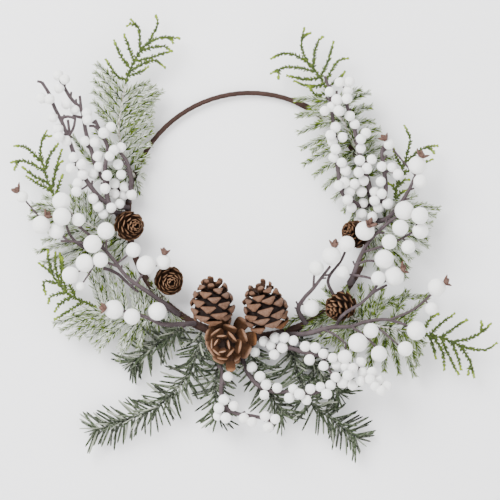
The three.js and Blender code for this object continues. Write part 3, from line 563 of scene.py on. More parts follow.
# %% Cone finish
def cone_finish(name, pale, warm, dark, rim_from, softness):
    """Scales with pale ends, warmer at the cone's foot; towards their roots, and on the core, they are
    painted near-black, partly their own dark brown and partly painted shade deep between the scales.
    """
    look = Look(name, roughness=0.75)
    along = look.attribute("along")
    grain = look.noise(1.3, detail=5, roughness=0.65)
    blotch = look.noise(4.5, detail=2).above(0.4, 4)
    face = look.mix(look.attribute("tone"), pale, warm)
    face = look.mix(blotch * 0.45, face, tint(dark, warm, 0.45))
    face = look.mix(grain.above(0.42, 3) * 0.6, face, tint(dark, warm, 0.3))
    # Painted shade: towards their roots the scales turn near-black, their own brown and the shade of the
    # gaps between them.
    shade = look.mix(grain * along, dark, tint(dark, warm, 0.5))
    end = ((along - rim_from) * (1 / softness) + (grain - 0.5) * 0.7).clamped()
    look.paint(look.mix(end, shade, face))
    look.bump(grain, 0.6)
    return look


# Each finish's third colour is near-black: partly the scales' own dark brown, partly painted shade deep
# between them.
blunt_look = cone_finish("blunt_cone", srgb(110, 86, 73), srgb(103, 68, 43), srgb(22, 12, 9), 0.82, 0.12)
front_look = cone_finish("open_cone", srgb(164, 131, 110), srgb(144, 96, 60), srgb(24, 13, 8), 0.8, 0.22)
small_look = cone_finish("small_cone", srgb(130, 99, 75), srgb(94, 61, 36), srgb(23, 13, 8), 0.84, 0.14)

# %% [markdown]
# Each cone is described as the florist sees it: its middle on the template, which way its tip points,
# how far its widest scales reach, and its kind. A kind says how long it is, how many scales it has,
# how wide the lowest one is and how much narrower the last, how far the lowest, middle and top scales
# reach and tilt, and how thick the core is. The topmost scales, the crown, may have another shape.

# %% Cones
GOLDEN_TURN = math.radians(137.508)
UPRIGHT = {
    "length": 39, "count": 42, "shape": shield_scale, "crown": thick_spoon, "look": blunt_look,
    "width": (0.88, 0.64), "spans": (0.78, 1.0, 0.74), "tilts": (-0.4, 0.1, 1.0), "core": 1.6,
}
OPEN = {
    "length": 46, "count": 24, "shape": thick_spoon, "crown": thick_spoon, "look": front_look,
    "width": (0.8, 0.5), "spans": (1.0, 0.86, 0.44), "tilts": (-0.2, 0.2, 1.1), "core": 1.0,
}
SMALL = {
    "length": 31, "count": 58, "shape": spoon_scale, "crown": spoon_scale, "look": small_look,
    "width": (0.72, 0.62), "spans": (0.8, 1.0, 0.5), "tilts": (-0.1, 0.5, 1.3), "core": 1.0,
}
CONES = {
    "cone_front": ((226, 342, 30), (-0.24, -1, -0.16), 26.8, OPEN),
    "cone_left": ((212.5, 300, 32), (-0.02, -0.25, 1), 23.5, UPRIGHT),
    "cone_right": ((264, 305, 32), (-0.28, -0.3, 1), 25.0, UPRIGHT),
    "small_cone_left_upper": ((131.5, 226, 24), (0.5, -1, -0.05), 16.5, SMALL),
    "small_cone_left_lower": ((170, 281, 22), (0.15, -1, -0.15), 16.5, SMALL),
    "small_cone_right_upper": ((353, 233, 22), (-0.6, -0.85, 0.3), 15.5, SMALL),
    "small_cone_right_lower": ((338, 307, 22), (-0.8, -0.75, -0.4), 16.5, SMALL),
}
# Some scales stand out longer than their neighbours: from where, to where, and how wide.
LONG_SCALES = {
    "cone_left": [((211.5, 291, 35), (209.5, 275.5, 37), 6.5)],
    "cone_front": [((229, 350, 32), (231.5, 371, 36), 13)],
}
LONG_SCALE_TONE = 0.7
# The lowest scale's height and the scales' whole stretch, as shares of the cone's length.
FOOT_SHARE = -0.4
SCALED_SHARE = 0.7
# The crown's scales are those past this share of their count.
CROWN_SHARE = 0.84
# The scales' roots are this share of their reach from the axis, and draw in towards the tip.
ROOT_SHARE = 0.2
ROOT_NARROWING = 0.7
# Each pair of the core's profile is a radius as a share of the reach, and a height of the length.
CORE_PROFILE = ((0.2, -0.44), (0.5, -0.36), (0.46, 0.0), (0.12, 0.34))
# What chance does to a scale's tilt, length and width.
TILT_CHANCE = (-0.06, 0.06)
LENGTH_CHANCE = (0.94, 1.08)
WIDTH_CHANCE = (0.92, 1.08)
# The tone is warm at the foot, fades within a few scales, and varies from scale to scale.
FOOT_WARMTH = 0.6
FADING = 5
TONE_CHANCE = 0.4


def between(values, share):
    """Blends three values: the first at 0, the second at 0.4 and the third at 1."""
    return float(np.interp(share, (0, 0.4, 1), values))


def coned_core(reach, length):
    """The core, painted near-black as the shade deep between the scales, extruded upwards from the top face
    of a short cylinder.
    """
    (radius, height), *rest = CORE_PROFILE
    bpy.ops.mesh.primitive_cylinder_add(
        vertices=10, radius=radius * reach * MM, depth=MM, location=(0, 0, height * length * MM - MM / 2))
    core = bpy.context.object
    bpy.ops.object.transform_apply(location=True, rotation=True, scale=True)
    bpy.ops.object.mode_set(mode="EDIT")
    bpy.ops.mesh.select_all(action="DESELECT")
    bpy.ops.object.mode_set(mode="OBJECT")
    for face in core.data.polygons:
        face.select = face.normal.z > 0.9
    bpy.ops.object.mode_set(mode="EDIT")
    for next_radius, next_height in rest:
        growth = next_radius / radius
        extruded([((next_height - height) * length * MM, 0, growth, growth)])
        radius, height = next_radius, next_height
    bpy.ops.object.mode_set(mode="OBJECT")
    return core


def scaly(node, middle, axis, reach, kind):
    """A cone: scales on a golden spiral round a core that is painted dark, as painted shade between them.
    """
    rng = random.Random(node)
    length = kind["length"]
    widest, narrowing = kind["width"]
    up = Vector(axis).normalized()
    turn = Matrix.Translation(place(*middle)) @ up.to_track_quat("Z", "Y").to_matrix().to_4x4()
    placings = {kind["shape"]: [], kind["crown"]: []}
    for i in range(kind["count"]):
        share = i / (kind["count"] - 1)
        angle = GOLDEN_TURN * i
        outward = Vector((math.cos(angle), math.sin(angle), 0))
        side = Vector((-outward.y, outward.x, 0))
        height = length * (FOOT_SHARE + SCALED_SHARE * share)
        root = outward * reach * ROOT_SHARE * (1 - ROOT_NARROWING * share) + Vector((0, 0, height))
        tilt = between(kind["tilts"], share) + rng.uniform(*TILT_CHANCE)
        direction = outward * math.cos(tilt) + Vector((0, 0, 1)) * math.sin(tilt)
        long = reach * between(kind["spans"], share) * (1 - ROOT_SHARE) * rng.uniform(*LENGTH_CHANCE)
        broad = widest * reach * (1 - narrowing * share**2) * rng.uniform(*WIDTH_CHANCE)
        local = aimed(root * MM, direction, side, long * MM, broad * MM, long * MM)
        tone = max(0.0, FOOT_WARMTH - FADING * share) + TONE_CHANCE * rng.random()
        shape = kind["crown"] if share > CROWN_SHARE else kind["shape"]
        placings[shape].append((turn @ local, tone))
    for start, end, broad in LONG_SCALES.get(node, ()):
        way = place(*end) - place(*start)
        standing = aimed(place(*start), way, Vector((1, 0, 0)), way.length, broad * MM, broad * MM)
        placings[kind["crown"]].append((standing, LONG_SCALE_TONE))
    scales = [copies(node + "_scales", shape, placed, kind["look"]) for shape, placed in placings.items()]
    only(*scales)
    bpy.ops.object.shade_smooth_by_angle(angle=math.radians(40))
    core = coned_core(reach * kind["core"], length)
    core.data.transform(turn)
    core.data.materials.append(kind["look"].material)
    finished("scaly_" + node, node, "cone_scales", core, *scales)


for node, cone in CONES.items():
    scaly(node, *cone)

# %% [markdown]
# A needle starts as a tiny polygon and is extruded outwards. Fir needles are flat and blunt, frosted
# ones thin and pointed, and the green tips have short broad leaf scales. All are set along a route in
# pairs, one to each side, and turned out of the wreath's plane by chance.


# %% Three kinds of needle
def modelled_needle(corners, steps):
    """A needle one unit long. Each step is how far it rises and bends, and its new size."""
    needle = polygon(corners, 0.3)
    extruded([(rise, bend, size, size) for rise, bend, size in steps])
    closed()
    return Shape(needle)


fir_needle = modelled_needle(4, [(0.12, 0, 1.65), (0.4, -0.05, 1), (0.38, -0.12, 0.86), (0.1, -0.05, 0.4)])
frost_needle = modelled_needle(3, [(0.45, 0.1, 1.6), (0.55, 0.4, 0.15)])
leaf_scale = modelled_needle(4, [(0.55, 0.1, 1.7), (0.45, 0.2, 0.4)])
print("their faces:", len(fir_needle.faces), len(frost_needle.faces), len(leaf_scale.faces))

# %% Foliage
BACK_LIMIT = 4.5 * MM


class Foliage:
    """How needles stand on a stem: millimetres apart, long and wide, and angles in radians."""

    # What chance does to a needle's lean, length, width, place and distance from the next.
    LEANS = (0.7, 1.25)
    LENGTHS = (0.72, 1.12)
    WIDTHS = (0.85, 1.15)
    SHIFTS = (-0.35, 0.35)
    GAPS = (0.75, 1.25)
    # A needle's thickness as a share of its width, and how much less the last needles lean.
    FLATNESS = 0.55
    STRAIGHTENING = 0.3

    def __init__(self, spacing, length, width, lean, spread, bare=0.0, tip=1.0, centre=0.0, tuft=5):
        self.spacing = spacing
        self.length = length
        self.width = width
        self.lean = lean
        self.spread = spread
        self.bare = bare
        self.tip = tip
        self.centre = centre
        self.tuft = tuft

    def needle(self, origin, tangent, radial, share, rng):
        """One needle's placing, kept in front of the wall."""
        tilt = self.lean * rng.uniform(*self.LEANS) * (1 - self.STRAIGHTENING * share**3)
        direction = tangent * math.cos(tilt) + radial * math.sin(tilt)
        size = self.length * rng.uniform(*self.LENGTHS) * (1 - (1 - self.tip) * share**2) * MM
        direction.y = min(direction.y, (BACK_LIMIT - origin.y) / size)
        width = self.width * rng.uniform(*self.WIDTHS) * MM
        side = tangent.cross(radial)
        return aimed(origin, direction, side, size, self.FLATNESS * width, width), rng.random()

    def along(self, route, rng):
        """Placings of needles on both sides of a route, and a tuft at its tip."""
        placings = []
        travelled = 0.0
        lengths = [(end - start).length / MM for start, end in zip(route, route[1:])]
        total = sum(lengths)
        due = self.bare + rng.random() * self.spacing
        for start, end, length in zip(route, route[1:], lengths):
            tangent = (end - start).normalized()
            across = tangent.cross(FRONT).normalized()
            while due < travelled + length:
                for hand in (-1, 1):
                    shift = rng.uniform(*self.SHIFTS) * self.spacing
                    origin = start.lerp(end, (due + shift - travelled) / length)
                    turn = self.centre + rng.uniform(-self.spread, self.spread)
                    radial = across * hand * math.cos(turn) + FRONT * math.sin(turn)
                    placings.append(self.needle(origin, tangent, radial, due / total, rng))
                due += self.spacing * rng.uniform(*self.GAPS)
            travelled += length
        for k in range(self.tuft):
            angle = math.tau * (k + rng.random() * 0.5) / self.tuft
            radial = across * math.cos(angle) + FRONT * math.sin(angle)
            placings.append(self.needle(route[-1], (tangent * 2 + radial).normalized(), radial, 1.0, rng))
        return placings


def leafy(prefix, node, slot, shape, placings, look, *stems):
    """The finished piece of a leafy node: its needles and what they grow on."""
    leaves = copies(prefix + node, shape, placings, look)
    piece = finished(prefix + node, node, slot, leaves, *stems)
    print("    of them", len(placings), "needles with", len(shape.faces), "each")
    return piece


# %% [markdown]
# The fir is dark and long-needled, and dusted with white. The dust is a noise mask, thicker in some
# patches and towards the needles' roots, and a few needles are pale all over.

# %% Fir
fir_look = Look("dusted_fir", roughness=0.65)
fir_tone = fir_look.attribute("tone")
fir_along = fir_look.attribute("along")
fir_green = fir_look.mix(fir_tone, srgb(12, 18, 9), srgb(58, 72, 44))
fir_fleck = fir_look.noise(2.2, detail=5, roughness=0.75).above(0.46, 6)
fir_patch = fir_look.noise(14, detail=2).above(0.35, 2.5)
fir_dust = fir_fleck * (fir_patch * 0.7 + 0.3) * (1 - fir_along * 0.45) * 0.9
fir_cover = fir_dust.maths("MAXIMUM", fir_dust, fir_tone.above(0.82, 9) * 0.75)
fir_look.paint(fir_look.mix(fir_cover, fir_green, srgb(166, 170, 156)))

FIR_SPRAYS = {
    "fir_spray_1": [(202, 326.6), (199, 343), (192, 368), (175, 390), (153, 409), (117, 423), (97, 429)],
    "fir_spray_2": [(224.5, 334.3), (222, 352), (217, 372), (216, 385), (216, 399), (218, 414)],
    "fir_spray_3": [(248.5, 337), (253, 356), (258, 370), (268, 390), (282, 414)],
    "fir_spray_4": [(285, 332), (292, 352), (300, 380), (312, 404), (330, 418), (355, 437)],
    "fir_spray_5": [(187, 319.5), (170, 336), (150, 349), (133, 362)],
    "fir_spray_6": [(297, 327.5), (307, 348), (320, 372), (338, 392)],
}
fir_sides = Foliage(spacing=3.3, length=25, width=2.2, lean=1.22, spread=0.4, bare=8)
fir_front = Foliage(spacing=5, length=19, width=2.2, lean=0.62, spread=0.6, bare=6, centre=0.8)
for node, stem in FIR_SPRAYS.items():
    rng = random.Random(node)
    (route,) = routes_of(node, stem)
    wood = drawn(node + "_stem", [tapered(route, 1.5, 0.8)], fir_look)
    placings = fir_sides.along(route, rng) + fir_front.along(route, rng)
    leafy("needled_", node, "fir_needles", fir_needle, placings, fir_look, wood)

# %% [markdown]
# A frosted frond has a whitened stem and brushes of short needles. The frost is painted: white and
# grey over dull green, in patches, and thickest at the needles' roots, with lime showing at their
# tips. The brushes of the solid model come first, in rows by side. Halfway between two neighbours of
# a row stands a finer brush, and the last list has more of these.

# %% Frost
frost_look = Look("frosted_green", roughness=0.85)
frost_tone = frost_look.attribute("tone")
frost_along = frost_look.attribute("along")
frost_green = frost_look.mix(frost_along, srgb(20, 32, 11), srgb(112, 136, 36))
frost_white = frost_look.mix(frost_tone, srgb(146, 154, 136), srgb(242, 244, 240))
frost_patch = frost_look.noise(6, detail=4, roughness=0.7)
frost_cover = (frost_tone + frost_patch * 1.3).above(0.95, 5) * (1 - frost_along * frost_along * 0.75)
frost_look.paint(frost_look.mix(frost_cover, frost_green, frost_white))

white_stem_look = Look("whitened_stem", roughness=0.9)
white_stem_patch = white_stem_look.noise(3, detail=4).above(0.4, 4)
white_stem_look.paint(white_stem_look.mix(white_stem_patch, srgb(104, 98, 88), srgb(216, 214, 208)))
white_stem_look.bump(white_stem_look.noise(0.8), 0.3)

spine_look = Look("green_spine", roughness=0.8)
spine_patch = spine_look.noise(2.5, detail=4).above(0.5, 5)
spine_look.paint(spine_look.mix(spine_patch, srgb(22, 34, 10), srgb(130, 140, 116)))

# %% Frosted fronds
FRONDS = {
    "frosted_frond_1": (
        [(135, 177), (125, 158), (119, 130), (121.5, 109), (125.5, 86)],
        [
            [((124, 92), (99, 66)), ((121, 110), (96, 83)), ((119, 128), (96, 104))],
            [
                ((123, 97), (147, 84)), ((121, 114), (160, 93)), ((119, 128), (151, 106)),
                ((120, 140), (150, 119)), ((122, 152), (150, 134)), ((126, 168), (146, 157)),
            ],
        ],
        [
            ((131, 174), (143, 164)), ((133, 180), (142, 176)), ((133, 182), (138, 192)),
            ((119, 136), (100, 114)), ((124, 160), (98, 134)),
            ((131, 174), (106, 168), (88, 157), (74, 138)), ((133, 178), (104, 150)),
            ((134, 180), (98, 178)), ((134, 182), (102, 200)), ((126, 165), (112, 178)),
            ((130, 172), (120, 196)), ((128, 168), (140, 156)),
        ],
    ),
    "frosted_frond_2": (
        [(131, 240), (107, 233), (85, 222), (68, 210), (57, 199)],
        [
            [
                ((73, 213), (36, 205)), ((76, 216), (33, 218)), ((88, 224), (52, 230)),
                ((112, 233), (40, 251)),
            ],
            [((74, 214), (73, 189)), ((88, 224), (86, 196)), ((94, 227), (100, 198))],
            [((105, 232), (72, 246)), ((116, 234), (86, 262))],
        ],
        [
            ((66, 208), (47, 198)), ((108, 233), (106, 206)), ((118, 236), (46, 262)),
            ((122, 238), (64, 266)), ((126, 239), (100, 268)), ((129, 240), (116, 262)),
            ((116, 236), (120, 214)),
        ],
    ),
    "frosted_frond_3": (
        [(172, 309), (150, 316), (125, 316), (99, 309)],
        [
            [
                ((106, 311), (57, 323)), ((114, 314), (71, 335)), ((124, 316), (92, 337)),
                ((132, 317), (101, 348)), ((150, 316), (140, 342)),
            ],
            [
                ((104, 311), (89, 270)), ((112, 313), (103, 272)), ((126, 316), (122, 282)),
                ((146, 317), (141, 286)),
            ],
        ],
        [
            ((146, 316), (120, 357)), ((156, 315), (136, 355)), ((162, 313), (152, 350)),
            ((168, 311), (167, 346)), ((171, 310), (181, 340)), ((170, 310), (190, 328)),
            ((118, 315), (110, 264)), ((140, 317), (130, 276)), ((160, 314), (148, 294)),
            ((170, 310), (162, 298)), ((110, 312), (76, 312)), ((156, 316), (128, 268)),
            ((166, 312), (150, 282)),
        ],
    ),
    "frosted_frond_4": (
        [(367.5, 184), (362, 167), (353, 142), (338, 112), (328, 93)],
        [
            [
                ((333, 103), (298, 100)), ((343, 122), (301, 132)), ((352, 142), (306, 163)),
                ((361, 162), (326, 186)), ((367, 183), (345, 209)),
            ],
            [
                ((336, 110), (366, 94)), ((346, 128), (371, 122)), ((355, 147), (382, 138)),
                ((362, 165), (390, 158)),
            ],
        ],
        [
            ((337, 111), (304, 114)), ((332, 102), (312, 108)), ((349, 134), (314, 150)),
            ((367, 184), (352, 219)), ((333, 103), (358, 91)), ((346, 128), (362, 108)),
            ((358, 154), (347, 122)), ((364, 170), (372, 142)), ((366, 178), (386, 172)),
            ((367, 183), (372, 214)), ((343, 120), (322, 122)), ((353, 142), (336, 142)),
            ((358, 156), (336, 164)), ((365, 176), (350, 186)), ((366, 180), (360, 206)),
        ],
    ),
    "frosted_frond_5": (
        [(371.3, 229.5), (383, 222), (395, 204)],
        [
            [
                ((389, 214), (412, 196)), ((390, 213), (432, 215)), ((386, 219), (424, 230)),
                ((381, 226), (425, 245)), ((377, 231), (408, 257)), ((374, 234), (404, 276)),
            ],
        ],
        [
            ((392, 210), (436, 208)), ((373, 229), (378, 274)), ((372, 229), (364, 262)),
            ((384, 221), (384, 196)), ((378, 226), (366, 208)), ((388, 216), (402, 222)),
            ((374, 228), (352, 240)),
        ],
    ),
    "frosted_frond_6": (
        [(328.5, 308.5), (350, 317), (380, 326), (405, 331), (420, 334)],
        [
            [((400, 330), (428, 295)), ((374, 325), (382, 291)), ((362, 321), (360, 287))],
            [
                ((408, 331), (419, 352)), ((396, 329), (413, 373)), ((384, 326), (384, 368)),
                ((370, 323), (352, 358)), ((350, 318), (342, 342)), ((358, 320), (326, 342)),
            ],
        ],
        [
            ((366, 322), (392, 300), (424, 296)), ((356, 319), (376, 302), (400, 306)),
            ((390, 328), (412, 312)), ((380, 326), (408, 318)), ((376, 325), (370, 370)),
            ((352, 318), (336, 354)), ((346, 316), (312, 346)), ((340, 313), (308, 326)),
            ((336, 311), (298, 318), (286, 326)), ((338, 312), (312, 302)), ((342, 314), (326, 290)),
            ((354, 319), (346, 290)), ((398, 330), (422, 342)), ((340, 312), (300, 334)),
        ],
    ),
}
# The third frond is whiter than the rest, and the fourth and the sixth are greener. On the sixth the
# darker green is partly its denser needles and partly painted shade under the large berries.
FROST = {"frosted_frond_3": 1.2, "frosted_frond_4": 0.82, "frosted_frond_6": 0.68}


def halfway(twigs):
    """A finer twig between each two neighbours on one side of a frond."""
    pairs = zip(twigs, twigs[1:])
    return [[((a + c) / 2, (b + d) / 2) for (a, b), (c, d) in zip(*pair)] for pair in pairs]


frost_main = Foliage(spacing=1.6, length=8, width=1.1, lean=0.75, spread=1.3, bare=12)
frost_sides = Foliage(spacing=1.15, length=9.5, width=1.35, lean=0.66, spread=0.7, bare=2, tip=0.7)
frost_round = Foliage(spacing=1.5, length=8, width=1.3, lean=0.55, spread=1.4, bare=2, tip=0.7)
for node, (stem, sides, more) in FRONDS.items():
    rng = random.Random(node)
    twigs = [twig for side in sides for twig in side]
    finer = [twig for side in sides for twig in halfway(side)]
    main, *brushes = routes_of(node, stem, twigs, finer + more)
    wood = drawn(node + "_stem", [tapered(main, 1.45, 0.95)], white_stem_look)
    spines = drawn(node + "_spines", [tapered(route, 0.75, 0.4) for route in brushes], spine_look)
    placings = frost_main.along(main, rng)
    for route in brushes:
        placings += frost_sides.along(route, rng) + frost_round.along(route, rng)
    placings = [(matrix, tone * FROST.get(node, 1.0)) for matrix, tone in placings]
    leafy("brushy_", node, "frosted_needles", frost_needle, placings, frost_look, wood, spines)

# %% [markdown]
# The green tips weren't frosted. Their leaves are short scales that hug the stem, and a few stand off
# it, so a tip looks like a slim cord with a toothed edge. The last millimetres of every twig turn
# yellow-green. The material reads that from an attribute that is worked out from the twigs' ends. A
# tip is written as its stem, the solid model's twigs, and finer ones.

# %% Cedar green
cedar_look = Look("cedar_green", roughness=0.6, specular=0.3)
cedar_green = cedar_look.mix(cedar_look.attribute("tone"), srgb(38, 52, 10), srgb(80, 98, 18))
cedar_fleck = cedar_look.noise(2.5).above(0.45, 3)
cedar_green = cedar_look.mix(cedar_fleck * 0.5, cedar_green, srgb(98, 116, 32))
cedar_look.paint(cedar_look.mix(cedar_look.attribute("tip"), cedar_green, srgb(130, 154, 34)))

# %% Green tips
CEDAR_TIPS = {
    "cedar_tip_1": (
        [(126, 84.5), (130, 71), (141, 51.5), (148, 44), (153.5, 35), (158, 25), (156.5, 17.5)],
        [
            ((127, 81), (117, 76), (107, 61)), ((130, 71), (121.5, 57), (115, 42)),
            ((133.5, 63), (130, 50), (125, 36)), ((141, 52), (140, 38), (139, 29), (132, 21)),
            ((146, 46), (156, 40), (165, 38), (179, 39)), ((141, 53), (153, 48), (164, 47), (171, 51)),
            ((135, 62), (149, 59), (161, 55), (171, 52)), ((130.5, 72), (142, 65), (155, 61), (164, 67)),
        ],
        [((167, 38), (173, 43)), ((138, 27), (128, 26.5)), ((129.5, 78), (140, 73), (148, 68))],
    ),
    "cedar_tip_2": (
        [(56, 198), (49.5, 185), (46, 173), (43, 162), (41, 151.5), (43, 140), (47, 132)],
        [
            ((42.5, 163), (32, 152), (25, 147), (16, 146.5)),
            ((45, 173), (32, 164), (22, 161), (12.5, 162.5)), ((48, 184), (36, 177), (24, 168)),
            ((51, 191), (39, 184), (28, 177)), ((46, 172), (50, 156), (58, 145)),
            ((53, 192), (56, 172), (62, 151)),
        ],
        [
            ((18.5, 162), (15.5, 169)), ((44, 141), (51, 136.5)), ((56.5, 169), (62.5, 162)),
            ((56, 196), (63, 176)),
        ],
    ),
    "cedar_tip_3": (
        [(98, 308), (81, 300), (70, 295), (59, 283.5), (51, 272), (40, 263.5)],
        [
            ((54, 277), (49.5, 262), (48.5, 251)), ((60, 285), (56, 267), (56, 253)),
            ((67, 292), (64, 275), (63, 258)), ((58, 283), (46, 281), (44, 286), (46, 293)),
            ((65, 291), (52, 296), (49, 302)), ((72, 296), (61, 303), (56, 310)),
            ((82, 301), (67, 312), (56, 319)),
        ],
        [((76, 298), (69, 282), (67, 270)), ((62, 287), (62, 270), (60.5, 254))],
    ),
    "cedar_tip_4": (
        [(327.5, 92), (320, 78), (307, 62), (301.5, 48), (302, 38), (304, 29.5)],
        [
            ((306, 62), (295, 56), (284, 54), (272, 59)), ((314, 71), (296, 68), (284, 68), (272, 73.5)),
            ((320, 80), (306, 80), (288, 76.5)), ((324, 87), (310, 87), (295, 82)),
            ((314, 70), (314.5, 53), (318, 42), (322, 38)), ((320, 77), (328, 61), (333, 43.5)),
            ((323, 84), (333, 68), (339, 61), (347, 59)), ((325, 88), (338, 80), (344, 73)),
        ],
        [((304, 40), (309.5, 34)), ((280, 69), (278.5, 78)), ((328, 96), (317, 96), (309, 88))],
    ),
    "cedar_tip_5": (
        [(395.3, 203), (395.5, 190), (401.5, 170.5), (407, 153), (409.5, 139), (404.5, 127)],
        [
            ((402, 167), (396, 158), (393, 149)), ((403, 166), (417, 152), (427, 147.5), (436, 146)),
            ((399, 177), (415, 167), (431, 160)), ((396.5, 189), (408, 180)), ((400, 175), (386, 168)),
        ],
        [((425, 148.5), (433, 152.5)), ((395.5, 198), (406, 190.5)), ((396, 190), (388.5, 184))],
    ),
    "cedar_tip_6": (
        [(421, 334.2), (441, 337.5), (454, 343), (473, 349), (486, 349), (495, 343.5)],
        [
            ((430, 336), (440, 323.5), (453, 314)), ((440, 337.5), (453, 328), (465.5, 320)),
            ((450, 341), (469, 338), (482, 331), (489.5, 324)), ((427, 336), (435, 357)),
            ((432, 336), (442, 352), (443.5, 368)), ((441, 338), (449.5, 358), (457.5, 373)),
            ((450, 341), (457.5, 358), (460, 368)), ((459, 345), (469, 360), (473.5, 376)),
        ],
        [((481, 331), (480.5, 322)), ((470, 363), (467.5, 373)), ((423, 330), (430, 318), (437, 314))],
    ),
}
YELLOW_REACH = 5


def mark_tips(piece, ends, reach):
    """Gives every point an attribute that is 1 at a twig's end and 0 from this many millimetres back."""
    points = np.array([vertex.co for vertex in piece.data.vertices])
    nearness = np.min([np.linalg.norm(points - np.array(end), axis=1) for end in ends], axis=0)
    marks = np.clip(1 - nearness / (reach * MM), 0, 1)
    piece.data.attributes.new("tip", "FLOAT", "POINT").data.foreach_set("value", marks)


cedar_hugging = Foliage(spacing=1.2, length=2.6, width=1.5, lean=0.45, spread=1.5, tip=0.9)
cedar_teeth = Foliage(spacing=2.8, length=3.5, width=1.9, lean=1.0, spread=0.4, tip=0.7, tuft=0)
for node, (stem, twigs, more) in CEDAR_TIPS.items():
    rng = random.Random(node)
    routes = routes_of(node, stem, twigs, more)
    wood = drawn(node + "_stem", [tapered(route, 1.0, 0.75) for route in routes], cedar_look)
    placings = []
    for route in routes:
        placings += cedar_hugging.along(route, rng) + cedar_teeth.along(route, rng)
    piece = leafy("green_", node, "cedar_green", leaf_scale, placings, cedar_look, wood)
    mark_tips(piece, [route[-1] for route in routes], YELLOW_REACH)

# %% [markdown]
# A berry is a foam ball rolled in coarse sugar. A round ball would look like plastic, so an icosphere's
# points are jittered and a cloud pattern dents it. Each seed moves the ball to another stretch of that
# pattern. The grains of sugar are bump, and the pits between them are painted slightly darker, as shade.


# %% Berries
def modelled_berry(subdivisions, seed, jitter, dents):
    """A lumpy ball of radius one."""
    bpy.ops.mesh.primitive_ico_sphere_add(subdivisions=subdivisions, radius=1)
    ball = bpy.context.object
    bpy.ops.object.mode_set(mode="EDIT")
    bpy.ops.mesh.select_all(action="SELECT")
    bpy.ops.transform.vertex_random(offset=jitter, normal=1.0, seed=seed)
    bpy.ops.object.mode_set(mode="OBJECT")
    ball.data.transform(Matrix.Translation((seed, 0, 0)))
    roughened(ball, 0.45 / MM, dents / MM)
    ball.data.transform(Matrix.Translation((-seed, 0, 0)))
    return Shape(ball)


small_shapes = [modelled_berry(3, seed, 0.05, 0.05) for seed in (1, 2, 3)]
large_shapes = [modelled_berry(4, seed, 0.012, 0.03) for seed in (4, 5, 6)]
print("a small berry has", len(small_shapes[0].faces), "faces, a large one", len(large_shapes[0].faces))

berry_look = Look("sugared_foam", roughness=0.9, specular=0.25)
berry_grain = berry_look.noise(0.75, detail=2)
berry_patch = berry_look.noise(5, detail=2)
berry_white = berry_look.mix(berry_patch, srgb(236, 235, 232), srgb(247, 247, 246))
# Painted shade: where the grain is low, in the pits between the sugar grains, the white is painted darker.
berry_pit_shade = ((0.44 - berry_grain) * 5).clamped() * 0.4
berry_look.paint(berry_look.mix(berry_pit_shade, berry_white, srgb(214, 210, 207)))
berry_look.bump(berry_grain, 0.45)

# %% [markdown]
# The berries' stems are wire in grey-brown paper, with flock on it. One fine noise both darkens the
# grey and raises it as bump.

# %% Flocked stems
stem_look = Look("flocked_stem", roughness=0.95)
stem_fuzz = stem_look.noise(1.0, detail=4)
stem_grey = stem_look.mix(stem_look.noise(7), srgb(58, 49, 51), srgb(96, 86, 89))
stem_look.paint(stem_look.mix(stem_fuzz * 0.5, stem_grey, srgb(38, 30, 31)))
stem_look.bump(stem_fuzz, 0.4)

# %% [markdown]
# Some large berries end in a calyx, the dry brown leaves at the end of a rose hip. Each leaf is one
# pointed sepal. Four of them stand round the berry's end, and chance decides how far each opens.

# %% Calyx
SEPALS = 4
SEPAL_LENGTH = 9.5
SEPAL_WIDTH = 6
SEPAL_FLATNESS = 0.5
# A calyx sits at this share of the berry's radius, and points this many millimetres outwards.
CALYX_SEAT = 0.9
CALYX_RISE = 2
# A sepal leans forwards and, by chance, outwards.
FORWARD = 0.7
OPENING = (0.5, 1.1)
calyx_look = Look("dry_calyx", roughness=0.85)
calyx_blotch = calyx_look.noise(1.5, detail=4)
calyx_look.paint(calyx_look.mix(calyx_blotch, srgb(44, 30, 26), srgb(122, 94, 84)))
calyx_look.bump(calyx_blotch, 0.3)
sepal = modelled_needle(4, [(0.35, 0.1, 1.6), (0.35, 0.15, 0.9), (0.3, 0, 0.25)])


def calyx(berry, aim, rng):
    """Placings of the dry leaves that stand round a berry's end, on the side of the aim."""
    direction = (place(*aim) + Vector((0, berry.centre.y - CALYX_RISE * MM, 0)) - berry.centre).normalized()
    origin = berry.centre + direction * berry.radius * CALYX_SEAT
    side = direction.cross(FRONT).normalized()
    placings = []
    for k in range(SEPALS):
        angle = math.tau * (k + 0.3 * rng.random()) / SEPALS
        radial = side * math.cos(angle) + direction.cross(side) * math.sin(angle)
        lean = direction * FORWARD + radial * rng.uniform(*OPENING)
        length = SEPAL_LENGTH * rng.uniform(0.8, 1.1) * MM
        width = SEPAL_WIDTH * MM
        across = direction.cross(radial)
        placings.append((aimed(origin, lean, across, length, width, SEPAL_FLATNESS * width), rng.random()))
    return placings


# %% [markdown]
# The sprays are laid out like the greens: a stem and its twigs. A large berry is written as its place
# and width, and the small ones share one width that varies a little. Where the solid model has a ball
# at that place, the berry takes its depth. Where it has none, the berry is set in front of the nearest
# stem, and moved out or in until it clears the berries already hung. Forks and bare twigs have no solid
# to follow either.

